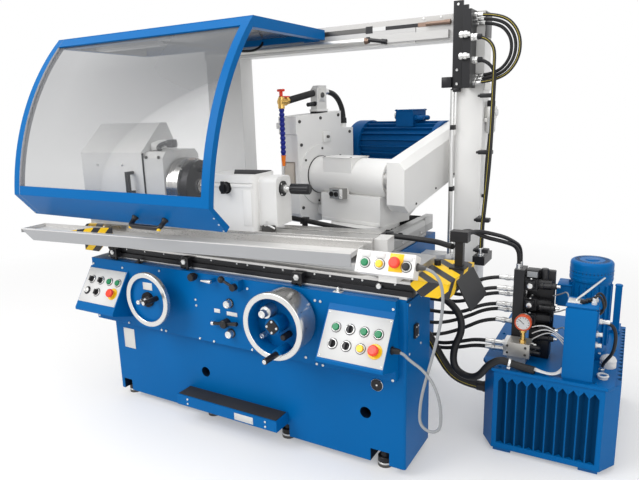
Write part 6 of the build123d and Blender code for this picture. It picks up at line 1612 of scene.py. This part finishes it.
class GRINDER_OT_hydraulics(GrinderOperator):
    """Make the gauge dial, valve knobs, cabinet door, grilles and small fittings of the hydraulic unit"""
    bl_idname = "grinder.hydraulics"
    bl_label = "Hydraulic trim"

    gauge_at = (140, 550)
    gauge_marks = 11
    lid_screws = ((70, 20), (420, 20), (30, 700), (464, 700), (250, 12), (250, 716), (14, 380), (472, 380))
    filler_at = (440, 78)
    ribs = 10
    rib_pitch = 37.5
    motor_at = (362, 307)
    motor_slots = 36

    def execute(self, context):
        unit = Form("hydraulic_trim", TANK)
        self.gauge(unit)
        self.manifold(unit)
        self.tower(unit)
        self.lid(unit)
        self.cabinet(unit)
        self.motor(unit)
        self.wires(unit)
        unit.done("bed")
        return {"FINISHED"}

    def gauge(self, unit):
        x, z = self.gauge_at
        unit.turned((x, 76, z), MINUS_Y, [(-6, 33), (2, 33), (4, 31), (4, 27.5), (0.4, 27)], "gauge_case", 40)
        unit.turned((x, 76, z), MINUS_Y, [(0.2, 27.5), (1.0, 27.5)], "white_plate", 40)
        for k in range(self.gauge_marks):
            spot = spun(TANK, (x, 74.8, z), -math.radians(225 - 27 * k), "Y")
            unit.box((19, -0.4, -0.7), (25, 0.3, 0.7), "black_paint", 0, spot)
        needle = spun(TANK, (x, 74.4, z), math.radians(-140), "Y")
        unit.box((-6, -0.4, -1), (20, 0.3, 1), "black_paint", 0, needle)
        unit.turned((x, 91.5, 506), PLUS_Z, [(0, 14), (10, 14), (12, 12), (12, 9.3)], "brass", 6)
        unit.turned((x, 91.5, 460), PLUS_Z, [(0, 13), (14, 13), (16, 10), (16, 9.3)], "brass", 6)

    def manifold(self, unit):
        unit.screws((84, 154), [75], (415, 445), MINUS_Y, 5, 3, "dark_steel")
        for z in (420, 442):
            unit.turned((170, 105, z), PLUS_X, [(0, 12), (10, 12), (10, 9), (34, 9), (38, 6)],
                        "black_plastic", 20)
            unit.turned((170, 132, z), PLUS_X, [(0, 9), (8, 9), (8, 6), (18, 6)], "zinc", 6)
        for z in (412, 438):
            unit.turned((68, 113, z), MINUS_X, [(0, 14), (10, 14), (10, 10), (40, 10), (42, 8)], "zinc", 20)

    def tower(self, unit):
        """Valves on the tower, and the nuts of its ports."""
        for z0 in (514, 577, 659):
            z = z0 + 25
            unit.turned((216, 198.5, z), PLUS_X, [(-1, 20), (10, 20), (13, 17), (13, 9), (17, 9)],
                        "black_plastic", 28)
            unit.screws([150], (167, 212), [z0 + 50], PLUS_Z, 5, 4)
            unit.box((127, 160, z0 + 6), (168, 168.4, z0 + 44), "black_paint", 3)
            unit.turned((148, 168, z), MINUS_Y, [(0, 19), (16, 19), (19, 16), (19, 11)], "black_plastic", 32)
            unit.turned((148, 152, z), MINUS_Y, [(0, 11), (5, 11), (6, 9)], "zinc", 28)
        unit.box((128, 172, 712), (176, 226, 744), "black_paint", 3)
        unit.box((132, 171, 716), (172, 172.6, 740), "cable", 0.5)
        unit.turned((196, 210, 684), PLUS_Z, [(0, 16), (60, 16), (64, 13)], "black_plastic", 28)
        unit.box((180, 180, 672), (214, 240, 684), "black_paint", 2)
        for y, z in map(tower_port, range(TOWER_PORTS)):
            unit.turned((TOWER_X[0], y, z), MINUS_X, [(0, 13), (8, 13), (10, 11), (10, 10.2)], "zinc", 6)
            unit.turned((60, y, z), MINUS_X, [(0, 12), (9, 12), (9, 10.2)], "zinc", 6)

    def lid(self, unit):
        """Lid screws, breather, filler ring and the corners of the tank's ribs."""
        for x, y in self.lid_screws:
            unit.screw((x, y, LID_TOP), PLUS_Z, 6, 4, "blue_paint")
        unit.turned((452, 200, 397), PLUS_Z,
                    [(0, 30.5), (4, 31), (8, 30), (16, 25), (22, 16), (26, 6), (27, 0)], "white_plate", 24)
        x, y = self.filler_at
        rim = [(x + a, y + b, 384) for a, b in around(16, 18)]
        unit.tube(rim + rim[:1], 4.5, "white_plate")
        unit.turned((x, y, 381), PLUS_Z, [(0, 17), (1.5, 17)], "blue_paint", 28)
        for k, s in product(range(self.ribs), (-1, 1)):
            m = 84.25 + self.rib_pitch * k
            corner = [(m + s * 18.2, 337), (m + s * 18.2, 314), (m + s * 0.4, 337)]
            unit.prism(corner, 1, 0.1, 15, "blue_paint")

    def cabinet(self, unit):
        unit.box((300, 2.6, 380), (408, 5.9, 662), "blue_paint", 1.5)
        unit.box((404.1, 30, 590), (412, 96, 650), "blue_paint", 3)
        for z in (508, 552):
            unit.turned((404, 63, z), PLUS_X, [(0, 13), (8, 13), (8, 9), (22, 9), (24, 7)], "zinc", 20)
        unit.box((298, 2, 667.1), (410, 124, 670), "blue_paint", 1)
        unit.tube([(330, 66, 676), (372, 158, 700), (415, 250, 724)], 4.5, "zinc")
        unit.box((302, 40, 670), (352, 96, 674), "aluminium", 1)
        for k in range(5):
            x, y = 344 + 9 * k, 40 + 13 * k
            unit.box((x, y, 670), (x + 18, y + 18, 684 - 2 * (k % 2)), "black_plastic", 3)
        for x, y in ((392, 56), (396, 92)):
            unit.turned((x, y, 670), PLUS_Z, [(0, 9), (10, 9), (10, 6.5), (22, 6.5), (24, 4)],
                        "white_plate", 20)
            unit.tube([(x, y, 690), (x + 4, y, 706), (x + 22, y + 4, 700), (x + 34, y + 8, 664),
                       (x + 30, y + 10, 640), (412, y + 6, 632)], 4.5, "rubber")

    def motor(self, unit):
        """Grille, bands, foot screws and terminal box of the pump motor."""
        x, y = self.motor_at
        for k in range(self.motor_slots):
            turn = math.tau * k / self.motor_slots
            unit.box((48, -1.6, -0.6), (66, 1.6, 0.7), "black_paint", 0.2, spun(TANK, (x, y, 779), turn, "Z"))
            unit.box((81.6, -1.6, -5), (82.7, 1.6, 5), "black_paint", 0.2, spun(TANK, (x, y, 738), turn, "Z"))
        unit.turned((x, y, 779), PLUS_Z, [(-0.5, 26), (1.8, 26), (3, 23)], "blue_paint", 32)
        for z in (705, 721, 737):
            unit.turned((x, y, z), PLUS_Z, [(0, 82), (0.2, 83), (5, 83), (5.2, 82)], "blue_paint", 48)
        for a, b in around(4, 76, 0.785):
            unit.screw((x + a, y + b, 399), PLUS_Z, 6, 5)
        unit.box((240, 258, 668), (300, 356, 674), "blue_paint", 2)
        unit.box((236, 262, 584), (245, 352, 664), "blue_paint", 2)

    def wires(self, unit):
        """Wires, solenoids, the cap behind the motor and the feet of the tank."""
        for y, z in ((175, 500), (222, 560), (200, 640)):
            unit.tube([(233, y, z), (262, y - 4, z + 10), (286, y - 30, z + 34), (300, y - 70, z + 20),
                       (304, y - 96, z - 20)], 2.6, "cable")
        for k in range(3):
            unit.tube([(172, 118 - 10 * k, 470 + 30 * k), (204, 110 - 10 * k, 500 + 24 * k),
                       (246, 96 - 8 * k, 520 + 12 * k), (284, 84 - 8 * k, 500 + 10 * k),
                       (304, 78 - 8 * k, 470 + 20 * k)], 2.2, "white_plate")
        unit.box((128, 214, 470), (236, 246, 738), "black_paint", 4)
        unit.box((150, 168, LID_TOP + 0.1), (232, 242, 500), "black_paint", 6)
        lean = (1, -0.15, 0.1)
        for y, z in ((150, 470), (172, 500), (150, 600), (152, 690)):
            unit.turned((190, y, z), lean,
                        [(0, 13), (12, 13), (12, 10), (44, 10), (46, 12), (60, 12), (62, 9)],
                        "black_plastic", 20)
            unit.turned((250, y - 9, z + 6), lean, [(0, 6), (14, 6), (15, 4)], "zinc", 16)
        for k in range(4):
            unit.tube([(200, 6 + 2.4 * k, 389 + 2 * k), (230, 4 + 3 * k, 386), (262, 8 + 4 * k, 380),
                       (290, 16 + 5 * k, 388), (305, 24 + 5 * k, 398 + 6 * k)], 3.4, "white_plate")
        unit.turned((464, 598, 596), PLUS_Z, [(0, 16), (5, 16), (8, 13)], "blue_paint", 24)
        unit.box((430, 590, LID_TOP), (483, 606, 386), "blue_paint", 1.5)
        for x in (92, 414):
            unit.box((x - 30, 2, 20), (x + 30, 26, 36), "blue_paint", 1.5)


class GRINDER_PT_parts(bpy.types.Panel):
    """Lists the steps that dress the grinder"""
    bl_idname = "GRINDER_PT_parts"
    bl_label = "Grinder"
    bl_space_type = "VIEW_3D"
    bl_region_type = "UI"
    bl_category = "Grinder"

    def draw(self, context):
        for step in STEPS:
            self.layout.operator(f"grinder.{step}")
        for group in (context.scene.grinder_colours, context.scene.grinder_sizes):
            for name in group.bl_rna.properties.keys():
                if name not in {"rna_type", "name"}:
                    self.layout.prop(group, name)


CLASSES = [GrinderColours, GrinderSizes, GRINDER_OT_stage, GRINDER_OT_finishes, GRINDER_OT_hoses,
           GRINDER_OT_panels, GRINDER_OT_apron, GRINDER_OT_handwheels, GRINDER_OT_table, GRINDER_OT_heads,
           GRINDER_OT_wheelhead, GRINDER_OT_hood, GRINDER_OT_column, GRINDER_OT_rear, GRINDER_OT_hydraulics,
           GRINDER_PT_parts]
STEPS = ["stage", "finishes", "hoses", "panels", "apron", "handwheels", "table", "heads", "wheelhead", "hood",
         "column", "rear", "hydraulics"]


def register():
    for cls in CLASSES:
        bpy.utils.register_class(cls)
    bpy.types.Scene.grinder_colours = PointerProperty(type=GrinderColours)
    bpy.types.Scene.grinder_sizes = PointerProperty(type=GrinderSizes)


def unregister():
    del bpy.types.Scene.grinder_sizes
    del bpy.types.Scene.grinder_colours
    for cls in reversed(CLASSES):
        bpy.utils.unregister_class(cls)


def main():
    register()
    for step in STEPS:
        getattr(bpy.ops.grinder, step)()


if __name__ == "__main__":
    main()
